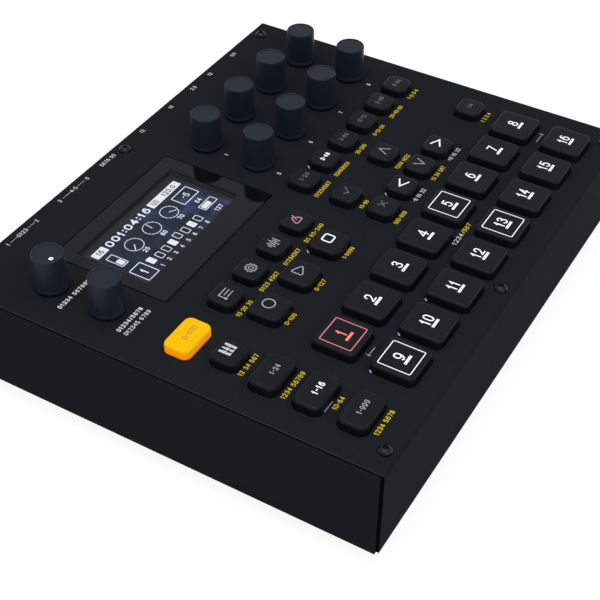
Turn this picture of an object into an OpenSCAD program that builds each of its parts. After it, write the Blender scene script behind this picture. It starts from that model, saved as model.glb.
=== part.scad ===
// Desktop drum machine: folded steel case, sixteen step keys, twenty-five panel keys,
// ten knobs, a display and a row of rear sockets.
// The origin is on the table under the middle of the machine. X points to the right of the
// player, Y to the rear and Z up. Panel places are given from the left and rear edges.

/* [Case] */
// Width of the case
body_w = 215; // [214:1:260]
// Depth of the case, from its front face to its rear face
body_d = 175.4; // [175:0.2:220]
// Height of the case, from its underside to its top face
body_h = 41; // [40:0.5:60]
// Sheet thickness of the lower tray
tray_t = 1.2; // [1:0.1:1.6]
// Sheet thickness of the top cover
cover_t = 1.2; // [1:0.1:1.6]
// Outer radius of every fold in the sheet
fold_r = 1.8; // [1.7:0.1:2.4]
// Rounding along the cut edges of the cover
cut_edge_r = 0.3; // [0.1:0.05:0.5]
// How far the cover's side edges stand in from the tray's sides
cover_inset = 0.5; // [0.1:0.1:0.8]
// Gap between the cover's front apron and the tray
apron_gap = 0.1; // [0.05:0.05:0.3]
// Height of the strip of tray that shows under the apron
apron_rise = 2.4; // [2:0.2:6]
// Width of the rear panel's flange under the cover
flange_w = 10; // [9:0.5:14]
// Gap between the rear panel and the tray
panel_gap = 0.1; // [0.05:0.05:0.3]
// Width of the tray's flange along the front, which ends before the front keys
front_flange_w = 6.4; // [6:0.1:6.8]
// Width of the tray's flange along the two sides
side_flange_w = 5; // [4:0.5:6]

/* [Feet] */
// Height of a rubber foot
foot_h = 6.6; // [4:0.2:12]
// Radius of a rubber foot
foot_r = 9; // [7:0.5:12]
// Distance from the case's edges to the middle of a foot
foot_inset = 17; // [14:1:30]
// Distance between the stand holes in the underside
stand_pitch = 100; // [75:1:110]
// Radius of a stand hole
stand_hole_r = 2.1; // [1.6:0.1:2.6]

/* [Fasteners] */
// Head radius of a case screw
screw_head_r = 2.75; // [2.5:0.05:3]
// Head height of a case screw
screw_head_h = 1.6; // [1.2:0.1:2]
// Shank radius of a case screw
screw_r = 1.5; // [1.25:0.05:1.75]
// Length of a case screw under its head
screw_len = 6; // [4:0.5:8]
// Distance from the side edges to the outer case screws
screw_side = 10; // [9:0.5:14]
// Distance from the front and rear edges to the case screws
screw_end = 4.8; // [4.6:0.1:7]
// Shank radius of a board screw
board_screw_r = 1.2; // [1:0.05:1.4]
// Head radius of a board screw
board_head_r = 2.3; // [2:0.05:2.5]
// Head height of a board screw
board_head_h = 1.4; // [1:0.1:1.8]
// Length of a board screw under its head
board_screw_len = 5; // [4:0.5:6]
// Radius of a pillar that carries a board
pillar_r = 2.6; // [2.5:0.1:3]

/* [Keys] */
// Height of a key above the cover
key_h = 3.5; // [2.5:0.1:5]
// How far a key goes down
key_travel = 1; // [0.6:0.1:1.4]
// Gap round a key in the cover
key_gap = 0.45; // [0.25:0.05:0.6]
// Rounding along the top edge of a key
key_edge_r = 1.1; // [0.6:0.1:1.4]
// Wall and roof thickness of a key
key_wall = 1.2; // [1:0.1:1.5]
// Width of the lip that keeps a key under the cover, past the opening
key_lip = 0.8; // [0.6:0.1:1]
// Thickness of that lip
key_lip_t = 1; // [0.8:0.1:1.4]
// Radius of the stem under a key
stem_r = 1.9; // [1.5:0.1:2.2]
// Side of a step key
step_size = 16.5; // [14:0.1:18]
// Corner radius of a step key
step_corner_r = 2.2; // [1.5:0.1:3]
// Distance between step keys in a row
step_pitch = 21; // [20.5:0.1:22]
// Distance between the two rows of step keys
step_row_pitch = 22.3; // [21:0.1:23]
// First step key, from the left edge
step_x = 46.6; // [46:0.1:48]
// Rear row of step keys, from the rear edge
step_y = 135.2; // [134:0.1:136]
// Corner radius of every other key
key_corner_r = 2.8; // [2:0.1:3]
// Width of a small key
small_w = 11; // [9:0.1:12]
// Depth of a small key
small_d = 10.6; // [9:0.1:11]
// Width of a wide key
wide_w = 16.8; // [14:0.1:18]
// Side of a transport key
transport_size = 12.8; // [11:0.1:13.2]

/* [Key places] */
// Left column of keys, from the left edge
column_x = 19.3; // [18:0.1:20]
// First key of the left column, from the rear edge
column_y = 89.6; // [89:0.1:91]
// Distance between keys in the left column
column_pitch = 16.9; // [16:0.1:17.5]
// First key of the setup row, from the left edge
setup_x = 43.5; // [43:0.1:45]
// Setup row, from the rear edge
setup_y = 89.6; // [88:0.1:90]
// Distance between keys in the setup row
setup_pitch = 16.4; // [15:0.1:17]
// First transport key, from the left edge
transport_x = 46.3; // [45:0.1:47]
// Transport row, from the rear edge
transport_y = 106.1; // [105:0.1:107]
// Distance between transport keys
transport_pitch = 20.9; // [19:0.1:22]
// First key of the page row, from the left edge
page_x = 117.3; // [116:0.1:118]
// Page row, from the rear edge
page_y = 79; // [78:0.1:80]
// Distance between keys in the page row, and between the cursor keys
page_pitch = 15.75; // [14:0.05:16]
// Rear cursor row, from the rear edge
cursor_y = 97.5; // [96:0.1:98]
// Distance between the two cursor rows
cursor_row_pitch = 16.2; // [14:0.1:17]

/* [Knobs] */
// Height of a knob's top above the cover
knob_top = 15.4; // [12:0.1:20]
// Gap between a knob and the cover
knob_gap = 0.7; // [0.4:0.1:1.5]
// Radius of a knob at its foot
knob_foot_r = 6.5; // [5.5:0.1:8]
// Radius of a knob at its top
knob_top_r = 5.95; // [5.4:0.05:7.5]
// Rounding along a knob's top edge
knob_edge_r = 0.5; // [0.3:0.1:1]
// How far a knob's foot stands out past its side
knob_flare = 0.25; // [0.1:0.05:0.4]
// Depth of the shallow dish in a knob's top
knob_dish = 0.15; // [0.05:0.05:0.3]
// Radius of a knob's shaft
shaft_r = 3; // [2.5:0.05:3.1]
// Gap between a shaft and its bushing
shaft_gap = 0.05; // [0.02:0.01:0.08]
// Gap between a shaft and the bore of its knob
shaft_seat_gap = 0.03; // [0.02:0.01:0.06]
// Distance from a shaft's axis to its flat
shaft_flat = 1.5; // [1.2:0.1:2]
// Radius of an encoder's bushing
bushing_r = 3.6; // [3.5:0.05:3.8]
// Knobs of the left column, from the left edge
volume_x = 18.4; // [18:0.1:20]
// Volume knob, from the rear edge
volume_y = 31.8; // [30:0.1:33]
// Level knob, from the rear edge
level_y = 56.4; // [54:0.1:58]
// First of the eight data knobs, from the left edge
data_x = 119.7; // [119:0.1:121]
// Rear row of data knobs, from the rear edge
data_y = 31.4; // [30:0.1:33]
// Distance between data knobs in a row
data_pitch = 25.2; // [22:0.1:27]
// Distance between the two rows of data knobs
data_row_pitch = 24.8; // [22:0.1:26]
// Radius of the pointer dot in the volume knob
dot_r = 0.9; // [0.6:0.1:1.2]
// Distance from the dot to the knob's axis
dot_reach = 3.4; // [3:0.1:4]
// Direction of the dot at the knob's lower stop, in degrees from the right
dot_turn = 241; // [225:1:250]

/* [Display] */
// Width of the display window
window_w = 73; // [60:0.5:74]
// Depth of the display window
window_d = 50.6; // [44:0.2:52]
// Thickness of the display window
window_t = 2; // [1.6:0.1:3]
// Corner radius of the display window
window_corner_r = 1; // [0.5:0.1:2]
// Gap round the window in the cover
window_gap = 0.2; // [0.1:0.05:0.4]
// Left edge of the window, from the left edge
window_x = 31.8; // [31:0.1:33]
// Rear edge of the window, from the rear edge
window_y = 21.2; // [20:0.1:22]
// Width of the screen's opening in its holder
screen_w = 60; // [50:0.5:62]
// Depth of the screen's opening in its holder
screen_d = 32.8; // [28:0.2:36]
// Left edge of the screen's opening, from the window's left edge
screen_x = 5.5; // [4:0.1:7]
// Rear edge of the screen's opening, from the window's rear edge
screen_y = 6.6; // [4:0.1:8]
// Wall thickness of the screen holder
holder_wall = 2.6; // [2:0.1:3]
// Thickness of the screen's glass
glass_t = 1.8; // [1.2:0.1:2.4]
// How far the screen's glass reaches past its opening
glass_margin = 1.4; // [1:0.1:1.8]

/* [Boards] */
// Thickness of a circuit board
board_t = 1.6; // [1.2:0.1:2]
// Clear height between the cover and the panel board
board_drop = 9; // [8.5:0.1:10]
// Distance from the case's side faces to the panel board
board_side = 4.6; // [4:0.1:6]
// Distance from the rear face to the panel board
board_rear = 12; // [11.5:0.5:14]
// Distance from the front face to the panel board
board_front = 12; // [11.5:0.5:12]
// Height of the pillars under the main board
main_rise = 5.4; // [4:0.2:7]
// Depth of the main board
main_d = 74; // [60:1:100]
// Side of a key switch
switch_size = 6.2; // [6:0.1:7]
// Height of a key switch without its plunger
switch_h = 3.5; // [3:0.1:4]
// Radius of a key switch's plunger
plunger_r = 1.75; // [1.2:0.05:2]
// Height of the plunger when it is pressed
plunger_h = 0.8; // [0.5:0.1:1.2]
// Length of the light beside a key switch
light_len = 1.6; // [1:0.1:2]
// Depth of that light
light_d = 0.8; // [0.5:0.1:1]
// Height of that light
light_h = 0.7; // [0.4:0.1:1]
// Side of an encoder's body
encoder_size = 12.4; // [12:0.1:13]
// Height of an encoder's body
encoder_h = 6.5; // [6:0.1:7]

/* [Rear sockets] */
// How far the jack bushings stand out of the rear face
rear_out = 2; // [1.6:0.1:4]
// First jack, from the left edge
jack_x = 12.2; // [12:0.1:14]
// Distance between jacks
jack_pitch = 16.1; // [14:0.1:16.2]
// Radius of a jack's bore
jack_bore_r = 3.25; // [3.2:0.01:3.3]
// Depth of a jack's bore from its mouth
jack_bore_len = 30; // [26:1:34]
// Radius of a jack's bushing
jack_bushing_r = 4.8; // [4.5:0.1:5.2]
// Width of a jack's body
jack_body_w = 13.4; // [12:0.1:13.8]
// Height of a jack's body
jack_body_h = 13; // [12:0.1:15]
// Length of a jack's body
jack_body_len = 31; // [30:1:36]
// Distance across the flats of a jack's nut
nut_af = 12; // [11:0.1:13]
// Thickness of a jack's nut
nut_t = 1.5; // [1:0.1:1.5]
// Gap between the last jack's body and the first round data socket's body
din_gap = 0.2; // [0.2:0.1:0.8]
// Distance between the round data sockets
din_pitch = 20.8; // [20.6:0.1:21]
// Width and height of a round data socket's body
din_size = 19.4; // [18:0.1:19.8]
// Length of a round data socket's body
din_len = 14; // [12:0.5:18]
// Outer radius of a round data socket's shell
din_shell_r = 7.4; // [7.2:0.1:8]
// Outer radius of the groove for the plug's shell
din_groove_r = 6.8; // [6.7:0.05:7]
// Radius of the insulator inside that groove
din_core_r = 5.6; // [5.4:0.1:5.8]
// Depth of that groove
din_groove_len = 8; // [6:0.5:10]
// Radius of the circle of contact holes
din_pin_ring_r = 3.5; // [3.3:0.05:3.7]
// Radius of a contact hole
din_pin_r = 0.75; // [0.6:0.05:0.9]
// Gap between the last round data socket's body and the square computer socket's body
usb_gap = 1.5; // [0.4:0.1:1.6]
// Power inlet, from the left edge
inlet_x = 165; // [163:0.5:170]
// Power button, from the left edge
power_x = 184; // [180:0.5:190]
// Radius of the power button
power_r = 3.4; // [3:0.1:4]
// How far the power button stands out of the rear face
power_out = 1.8; // [1.6:0.1:3]
// How far the power button goes in
power_travel = 1.2; // [0.8:0.1:1.4]

/* [Hidden] */
$fn = 48;
eps = 0.01;

// Levels, from the table up
tray_z = foot_h;
top_z = tray_z + body_h;
seat_z = top_z - cover_t;
board_top_z = seat_z - board_drop;
board_z = board_top_z - board_t;
floor_z = tray_z + tray_t;
main_z = floor_z + main_rise;
main_top_z = main_z + board_t;

// Plan: the box round the whole machine is centred on the origin
rear_y = (body_d - rear_out) / 2;
front_y = rear_y - body_d;
tray_front_y = front_y + cover_t + apron_gap;
tray_d = rear_y - tray_front_y;
wall_y = rear_y - tray_t;

// Board outlines
panel_board_w = body_w - 2 * board_side;
panel_board_d = body_d - board_rear - board_front;
main_wall_gap = 0.6;
main_board_w = body_w - 2 * board_side;

// Depth of the screw seat in a foot
foot_sink_h = 3;

// Collars with the threads of the stand holes
collar_h = 2.6;
collar_r = 3.8;
STAND_HOLES = [for (x = [-1, 1], y = [-1, 1]) [x * stand_pitch / 2, y * stand_pitch / 2]];

// Places in the panel, from the left and rear edges
column = function (i) column_y + column_pitch * i;
setup = function (i) setup_x + setup_pitch * i;
transport = function (i) transport_x + transport_pitch * i;
page = function (i) page_x + page_pitch * i;
cursor = function (i) cursor_y + cursor_row_pitch * i;

// Panel keys: name, x, y, width, depth
PANEL_KEYS = [
    ["function_key", column_x, column(0), wide_w, small_d],
    ["keyboard_key", column_x, column(1), small_w, small_d],
    ["track_key", column_x, column(2), wide_w, small_d],
    ["pattern_key", column_x, column(3), wide_w, small_d],
    ["song_key", column_x, column(4), wide_w, small_d],
    ["kit_key", setup(0), setup_y, small_w, small_d],
    ["settings_key", setup(1), setup_y, small_w, small_d],
    ["sampling_key", setup(2), setup_y, small_w, small_d],
    ["tempo_key", setup(3), setup_y, small_w, small_d],
    ["record_key", transport(0), transport_y, transport_size, transport_size],
    ["play_key", transport(1), transport_y, transport_size, transport_size],
    ["stop_key", transport(2), transport_y, transport_size, transport_size],
    ["trigger_page_key", page(0), page_y, small_w, small_d],
    ["source_page_key", page(1), page_y, small_w, small_d],
    ["filter_page_key", page(2), page_y, small_w, small_d],
    ["level_page_key", page(3), page_y, small_w, small_d],
    ["effects_page_key", page(4), page_y, small_w, small_d],
    ["modulation_page_key", page(5), page_y, small_w, small_d],
    ["accept_key", page(0), cursor(0), small_w, small_d],
    ["cancel_key", page(0), cursor(1), small_w, small_d],
    ["up_key", page(2), cursor(0), small_w, small_d],
    ["left_key", page(1), cursor(1), small_w, small_d],
    ["down_key", page(2), cursor(1), small_w, small_d],
    ["right_key", page(3), cursor(1), small_w, small_d],
    ["pattern_page_key", page(5), cursor(1), small_w, small_d]
];

// Step keys: name, x, y; eight in the rear row, then eight in the front row
STEP_KEYS = [for (row = [0, 1], i = [0 : 7])
    [str("step_key_", 8 * row + i + 1), step_x + step_pitch * i, step_y + step_row_pitch * row]];

// Knobs: name, x, y
DATA_LETTERS = "abcdefgh";
KNOBS = concat(
    [["volume_knob", volume_x, volume_y], ["level_knob", volume_x, level_y]],
    [for (row = [0, 1], i = [0 : 3])
        [str("data_knob_", DATA_LETTERS[4 * row + i]),
         data_x + data_pitch * i, data_y + data_row_pitch * row]]);

// Case screws, from the left and rear edges
middle_screw_x = 99.8;
CASE_SCREWS = [for (x = [screw_side, middle_screw_x, body_w - screw_side],
                    y = [screw_end, body_d - screw_end]) [x, y]];

// Round data sockets and the square computer socket, one beside the other after the jacks
usb_body_w = 12;
din_x = jack_x + 4 * jack_pitch + jack_body_w / 2 + din_gap + din_size / 2;
usb_x = din_x + 2 * din_pitch + din_size / 2 + usb_gap + usb_body_w / 2;

// Notch in the panel board's rear edge that clears the round data sockets
socket_gap = 0.6;
notch_d = tray_t + din_len + socket_gap;
notch_w = 2 * din_pitch + din_size + 2 * socket_gap;

// Pillars between the cover and the panel board, clear of keys, knobs and display
right_pillar_x = body_w - 8.5;
notch_margin = 1.6;
notch_pillar_y = notch_d + notch_margin + pillar_r;
PANEL_PILLARS = [[12, 16], [12, 72], [33, 120], [33, 146.3], [111.5, notch_pillar_y],
                 [103, 114], [180, 105], [right_pillar_x, 16], [right_pillar_x, 66],
                 [right_pillar_x, 146.3]];

// Pillars between the tray and the main board, from the left and rear edges
MAIN_PILLARS = [for (x = [9, 78, 142, body_w - 9], y = [38, main_d - 4]) [x, y]];

FEET = [for (x = [foot_inset, body_w - foot_inset],
             y = [foot_inset, body_d - foot_inset]) [x, y]];

// Jacks: five in a row
JACKS = [for (i = [0 : 4]) jack_x + jack_pitch * i];
DINS = [for (i = [0 : 2]) din_x + din_pitch * i];

// Socket axes
jack_z = main_top_z + jack_body_h / 2;
din_z = main_top_z + din_size / 2;
usb_body_h = 10.8;
usb_body_len = 16;
usb_nose_r = 0.6;
usb_z = main_top_z + usb_body_h / 2;
inlet_body_w = 9.2;
inlet_body_h = 11;
inlet_body_len = 14;
inlet_shell_r = 4.4;
inlet_bore_r = 3.1;
inlet_bore_len = 9.5;
inlet_pin_r = 1;
inlet_z = main_top_z + inlet_body_h / 2;
power_z = main_top_z + inlet_body_h / 2;
power_body = 10;
power_body_gap = 5;
power_stem_r = 1.5;
power_stem_len = 9;
power_bore_len = 8.5;
panel_hole_gap = 0.2;

// Moves to a place in the panel, given from the left and rear edges
module at(x, y, z = 0) {
    translate([x - body_w / 2, rear_y - y, z]) children();
}

// Turns a shape so that its Z axis points out of the rear face, at a socket's place
module at_rear(x, y, z) {
    translate([x - body_w / 2, y, z]) rotate([-90, 0, 0]) children();
}

// Flat outline with round corners
module rounded_plan(w, d, r) {
    square([w - 2 * r, d], center = true);
    square([w, d - 2 * r], center = true);
    for (x = [-1, 1], y = [-1, 1])
        translate([x * (w / 2 - r), y * (d / 2 - r)]) circle(r);
}

module rounded_slab(w, d, h, r) {
    linear_extrude(h) rounded_plan(w, d, r);
}

// Upright outline, w wide and h high, with only its two upper corners round
module arched_plan(w, h, r) {
    translate([-w / 2, 0]) square([w, h - r]);
    translate([-w / 2 + r, 0]) square([w - 2 * r, h]);
    for (x = [-1, 1]) translate([x * (w / 2 - r), h - r]) circle(r);
}

// Block with round upright corners and a rounded top edge all the way round
module soft_block(w, d, h, r, edge) {
    rotate([90, 0, 0]) linear_extrude(d - 2 * r, center = true) arched_plan(w, h, edge);
    rotate([90, 0, 90]) linear_extrude(w - 2 * r, center = true) arched_plan(d, h, edge);
    for (x = [-1, 1], y = [-1, 1])
        translate([x * (w / 2 - r), y * (d / 2 - r), 0])
            rotate_extrude() intersection() {
                arched_plan(2 * r, h, edge);
                square([r, h]);
            }
}

// Box of folded sheet with every long fold rounded
module folded_box(w, d, h, r) {
    intersection() {
        rotate([90, 0, 0]) linear_extrude(d, center = true) rounded_plan(w, h, r);
        rotate([90, 0, 90]) linear_extrude(w, center = true) rounded_plan(d, h, r);
    }
}

// Openings in the rear panel, a little larger than what passes through
module rear_cutouts() {
    depth = 3 * tray_t;
    for (x = JACKS)
        at_rear(x, wall_y - tray_t, jack_z)
            cylinder(r = jack_bushing_r + panel_hole_gap, h = depth);
    for (x = DINS)
        at_rear(x, wall_y - tray_t, din_z)
            cylinder(r = din_shell_r + panel_hole_gap, h = depth);
    at_rear(usb_x, wall_y - tray_t, usb_z)
        linear_extrude(depth)
            square([usb_body_w + 2 * panel_hole_gap, usb_body_h + 2 * panel_hole_gap],
                   center = true);
    at_rear(inlet_x, wall_y - tray_t, inlet_z)
        cylinder(r = inlet_shell_r + panel_hole_gap, h = depth);
    at_rear(power_x, wall_y - tray_t, power_z)
        cylinder(r = power_r + panel_hole_gap, h = depth);
}

// Lower case: the tray, and the rear panel that closes it
module base_case() {
    color("#3b3e43") tray();
    color("#3b3e43") rear_panel();
}

// Tray: floor, front wall and two side walls, with flanges that carry the cover
module tray() {
    tray_h = body_h - cover_t;
    mouth_end = 5;
    mouth_d = tray_d - front_flange_w + mouth_end;
    difference() {
        union() {
            difference() {
                translate([0, (rear_y + tray_front_y) / 2, tray_z + tray_h / 2])
                    folded_box(body_w, tray_d, tray_h, fold_r);
                translate([0, (rear_y + tray_front_y) / 2, tray_z + tray_h / 2])
                    folded_box(body_w - 2 * tray_t, tray_d - 2 * tray_t,
                               tray_h - 2 * tray_t, fold_r - tray_t);
                translate([0, tray_front_y + front_flange_w + mouth_d / 2, seat_z - 2 * tray_t])
                    rounded_slab(body_w - 2 * side_flange_w, mouth_d, 3 * tray_t, 3);
                translate([-body_w / 2 + fold_r, rear_y - flange_w - panel_gap, floor_z])
                    cube([body_w - 2 * fold_r, 2 * flange_w, body_h]);
            }
            for (p = STAND_HOLES)
                translate([p.x, p.y, floor_z - eps]) cylinder(r = collar_r, h = collar_h);
            for (p = MAIN_PILLARS)
                at(p[0], p[1], floor_z - eps) cylinder(r = pillar_r, h = main_rise + eps);
        }
        for (p = STAND_HOLES)
            translate([p.x, p.y, tray_z - eps])
                cylinder(r = stand_hole_r, h = tray_t + collar_h + 2 * eps);
        for (p = FEET)
            at(p[0], p[1], tray_z - eps) cylinder(r = screw_r, h = tray_t + 2 * eps);
        for (p = MAIN_PILLARS)
            at(p[0], p[1], floor_z + 1) cylinder(r = board_screw_r, h = main_rise);
        for (p = CASE_SCREWS)
            at(p[0], p[1], seat_z - 2 * tray_t) cylinder(r = screw_r, h = 3 * tray_t);
    }
}

// Rear panel: a folded plate between the side walls. Its upper flange takes the cover's
// screws. Its lower flange lies on the floor, clear of the collars, and is held by the screws
// of the rear feet
module rear_panel() {
    low_z = floor_z + panel_gap;
    panel_w = body_w - 2 * (fold_r + panel_gap);
    difference() {
        translate([-panel_w / 2, rear_y, low_z]) rotate([90, 0, 90])
            linear_extrude(panel_w) rear_profile(seat_z - low_z);
        rear_cutouts();
        for (p = STAND_HOLES)
            translate([p.x, p.y, floor_z]) cylinder(r = collar_r + panel_gap, h = collar_h);
        for (p = FEET)
            at(p[0], p[1], floor_z) cylinder(r = screw_r, h = 2 * tray_t);
        for (p = CASE_SCREWS)
            at(p[0], p[1], seat_z - 2 * tray_t) cylinder(r = screw_r, h = 3 * tray_t);
    }
}

// Side view of the rear panel, h high: its outer face is on the Y axis
module rear_profile(h) {
    lower_flange_w = foot_inset + 5;
    translate([-tray_t, fold_r]) square([tray_t, h - 2 * fold_r]);
    translate([-flange_w, h - tray_t]) square([flange_w - fold_r, tray_t]);
    translate([-lower_flange_w, 0]) square([lower_flange_w - fold_r, tray_t]);
    translate([-fold_r, h - fold_r]) fold_ring(fold_r, tray_t);
    translate([-fold_r, fold_r]) mirror([0, 1]) fold_ring(fold_r, tray_t);
}

// Side view of a fold in sheet: a quarter ring
module fold_ring(r, t) {
    intersection() {
        difference() {
            circle(r);
            circle(r - t);
        }
        square(r);
    }
}

// Top cover: the panel and its front apron, folded from one sheet
module top_cover() {
    cover_w = body_w - 2 * cover_inset;
    apron_h = body_h - apron_rise;
    hole_h = 3 * cover_t;
    hole_z = seat_z - cover_t;
    color("#3b3e43") difference() {
        union() {
            intersection() {
                translate([-cover_w / 2, 0, 0]) rotate([90, 0, 90])
                    linear_extrude(cover_w) cover_profile(apron_h);
                translate([0, rear_y + eps, top_z - body_h]) rotate([90, 0, 0])
                    linear_extrude(body_d + 2 * eps) arched_plan(cover_w, body_h, cut_edge_r);
            }
            for (p = PANEL_PILLARS)
                at(p[0], p[1], board_top_z) cylinder(r = pillar_r, h = board_drop + eps);
        }
        for (k = STEP_KEYS)
            at(k[1], k[2], hole_z)
                rounded_slab(step_size + 2 * key_gap, step_size + 2 * key_gap, hole_h,
                             step_corner_r + key_gap);
        for (k = PANEL_KEYS)
            at(k[1], k[2], hole_z)
                rounded_slab(k[3] + 2 * key_gap, k[4] + 2 * key_gap, hole_h,
                             key_corner_r + key_gap);
        for (k = KNOBS)
            at(k[1], k[2], hole_z) cylinder(r = bushing_r + panel_hole_gap, h = hole_h);
        for (p = CASE_SCREWS)
            at(p[0], p[1], hole_z) cylinder(r = screw_r + panel_hole_gap, h = hole_h);
        for (p = PANEL_PILLARS)
            at(p[0], p[1], board_top_z - eps) cylinder(r = board_screw_r, h = board_drop - 1);
        at(window_x + window_w / 2, window_y + window_d / 2, hole_z)
            rounded_slab(window_w + 2 * window_gap, window_d + 2 * window_gap, hole_h,
                         window_corner_r + window_gap);
    }
}

// Side view of the cover: a flat sheet with the apron folded down at the front
module cover_profile(apron_h) {
    translate([front_y + fold_r, seat_z]) square([body_d - fold_r, cover_t]);
    translate([front_y, top_z - apron_h]) square([cover_t, apron_h - fold_r]);
    translate([front_y + fold_r, top_z - fold_r]) mirror([1, 0]) fold_ring(fold_r, cover_t);
}

// Screen window, flush with the cover
module display_window() {
    color([0.13, 0.13, 0.15, 0.9])
        at(window_x + window_w / 2, window_y + window_d / 2, top_z - window_t)
            rounded_slab(window_w, window_d, window_t, window_corner_r);
}

// Screen holder with the screen's glass and the pad that presses it up
module display_module() {
    holder_w = window_w + 2 * window_gap + 2 * holder_wall;
    holder_d = window_d + 2 * window_gap + 2 * holder_wall;
    frame_t = 1.2;
    frame_z = top_z - window_t - frame_t;
    glass_w = screen_w + 2 * glass_margin;
    glass_d = screen_d + 2 * glass_margin;
    screen_mid_x = window_x + screen_x + screen_w / 2;
    screen_mid_y = window_y + screen_y + screen_d / 2;
    pad_inset = 6;
    stack_gap = 0.05;
    color("#1b1c1f") difference() {
        at(window_x + window_w / 2, window_y + window_d / 2, board_top_z)
            rounded_slab(holder_w, holder_d, board_drop, window_corner_r + holder_wall);
        at(window_x + window_w / 2, window_y + window_d / 2, top_z - window_t)
            rounded_slab(window_w + 2 * window_gap, window_d + 2 * window_gap, window_t,
                         window_corner_r + window_gap);
        at(window_x + window_w / 2, window_y + window_d / 2, board_top_z - eps)
            rounded_slab(window_w, window_d, frame_z - board_top_z + eps, window_corner_r);
        at(screen_mid_x, screen_mid_y, frame_z - eps)
            rounded_slab(screen_w, screen_d, 2 * window_t, 0.5);
    }
    color("#10141c") at(screen_mid_x, screen_mid_y, frame_z - stack_gap - glass_t)
        rounded_slab(glass_w, glass_d, glass_t, 0.5);
    color("#3a3a3a") at(screen_mid_x, screen_mid_y, board_top_z)
        rounded_slab(glass_w - pad_inset, glass_d - pad_inset,
                     frame_z - 2 * stack_gap - glass_t - board_top_z, 1);
}

// Panel board with a switch and a light under every key and an encoder under every knob
module panel_board() {
    hole_gap = 0.2;
    light_gap = 0.5;
    color("#1f4a33") difference() {
        union() {
            difference() {
                at(body_w / 2, board_rear + panel_board_d / 2, board_z)
                    rounded_slab(panel_board_w, panel_board_d, board_t, 2);
                at(din_x + din_pitch, notch_d / 2, board_z - eps)
                    rounded_slab(notch_w, notch_d, board_t + 2 * eps, 1);
            }
            for (k = concat(STEP_KEYS, PANEL_KEYS)) at(k[1], k[2], board_top_z - eps) {
                translate([-switch_size / 2, -switch_size / 2, 0])
                    cube([switch_size, switch_size, switch_h + eps]);
                cylinder(r = plunger_r, h = switch_h + plunger_h + eps);
                translate([-switch_size / 2, switch_size / 2 + light_gap, 0])
                    cube([light_len, light_d, light_h + eps]);
            }
            for (k = KNOBS) at(k[1], k[2], board_top_z - eps) {
                translate([-encoder_size / 2, -encoder_size / 2, 0])
                    cube([encoder_size, encoder_size, encoder_h + eps]);
                cylinder(r = bushing_r, h = board_drop + cover_t + knob_gap + bushing_over());
            }
        }
        for (k = KNOBS)
            at(k[1], k[2], shaft_z() - shaft_end_gap())
                cylinder(r = shaft_r + shaft_gap, h = knob_top + top_z - board_top_z);
        for (p = PANEL_PILLARS)
            at(p[0], p[1], board_z - eps)
                cylinder(r = board_screw_r + hole_gap, h = board_t + 2 * eps);
    }
}

// How far a bushing reaches into its knob, and the shaft's lower end
function bushing_over() = 0.9;
function shaft_z() = board_top_z + 1.6;
function shaft_end_gap() = 0.4;

// Main board with every rear socket and the header that meets the panel board. The jacks
// are solids of their own, which stand a solder gap above the board.
module main_board() {
    hole_gap = 0.2;
    header_w = 50;
    header_d = 5;
    header_y = 62;
    color("#1f4a33") difference() {
        union() {
            at(body_w / 2, tray_t + main_wall_gap + main_d / 2, main_z)
                rounded_slab(main_board_w, main_d, board_t, 2);
            at(body_w / 2 - header_w / 2, header_y + header_d / 2, main_top_z - eps)
                cube([header_w, header_d, board_z - main_top_z + eps]);
        }
        for (p = MAIN_PILLARS)
            at(p[0], p[1], main_z - eps)
                cylinder(r = board_screw_r + hole_gap, h = board_t + 2 * eps);
    }
    color("#26272a") {
        for (x = JACKS) jack(x);
        for (x = DINS) din_socket(x);
        usb_socket();
        power_inlet();
        power_switch();
    }
}

// Quarter-inch jack: a body behind the wall and a bushing through it
module jack(x) {
    solder_gap = 0.05;
    difference() {
        union() {
            at(x, tray_t + jack_body_len / 2, main_top_z + solder_gap)
                translate([-jack_body_w / 2, -jack_body_len / 2, 0])
                    cube([jack_body_w, jack_body_len, jack_body_h - solder_gap]);
            at_rear(x, wall_y - eps, jack_z)
                cylinder(r = jack_bushing_r, h = tray_t + rear_out + eps);
        }
        at_rear(x, rear_y + rear_out - jack_bore_len, jack_z)
            cylinder(r = jack_bore_r, h = jack_bore_len + eps);
    }
}

// Round five-contact socket: a shell through the wall round a slotted insulator
module din_socket(x) {
    core_recess = 0.8;
    key_w = 2.6;
    key_reach = 1.1;
    difference() {
        union() {
            at(x, tray_t + din_len / 2, main_top_z)
                translate([-din_size / 2, -din_len / 2, 0])
                    cube([din_size, din_len, din_size]);
            at_rear(x, wall_y - eps, din_z) cylinder(r = din_shell_r, h = tray_t + eps);
        }
        at_rear(x, rear_y - din_groove_len, din_z) difference() {
            cylinder(r = din_groove_r, h = din_groove_len + eps);
            difference() {
                translate([0, 0, -eps])
                    cylinder(r = din_core_r, h = din_groove_len - core_recess + eps);
                translate([-key_w / 2, -din_core_r - eps, -2 * eps])
                    cube([key_w, key_reach, din_groove_len + 4 * eps]);
            }
        }
        for (turn = [0 : 45 : 180])
            at_rear(x, rear_y - din_groove_len, din_z) rotate([0, 0, turn])
                translate([din_pin_ring_r, 0, 0])
                    cylinder(r = din_pin_r, h = din_groove_len + eps);
    }
}

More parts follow.
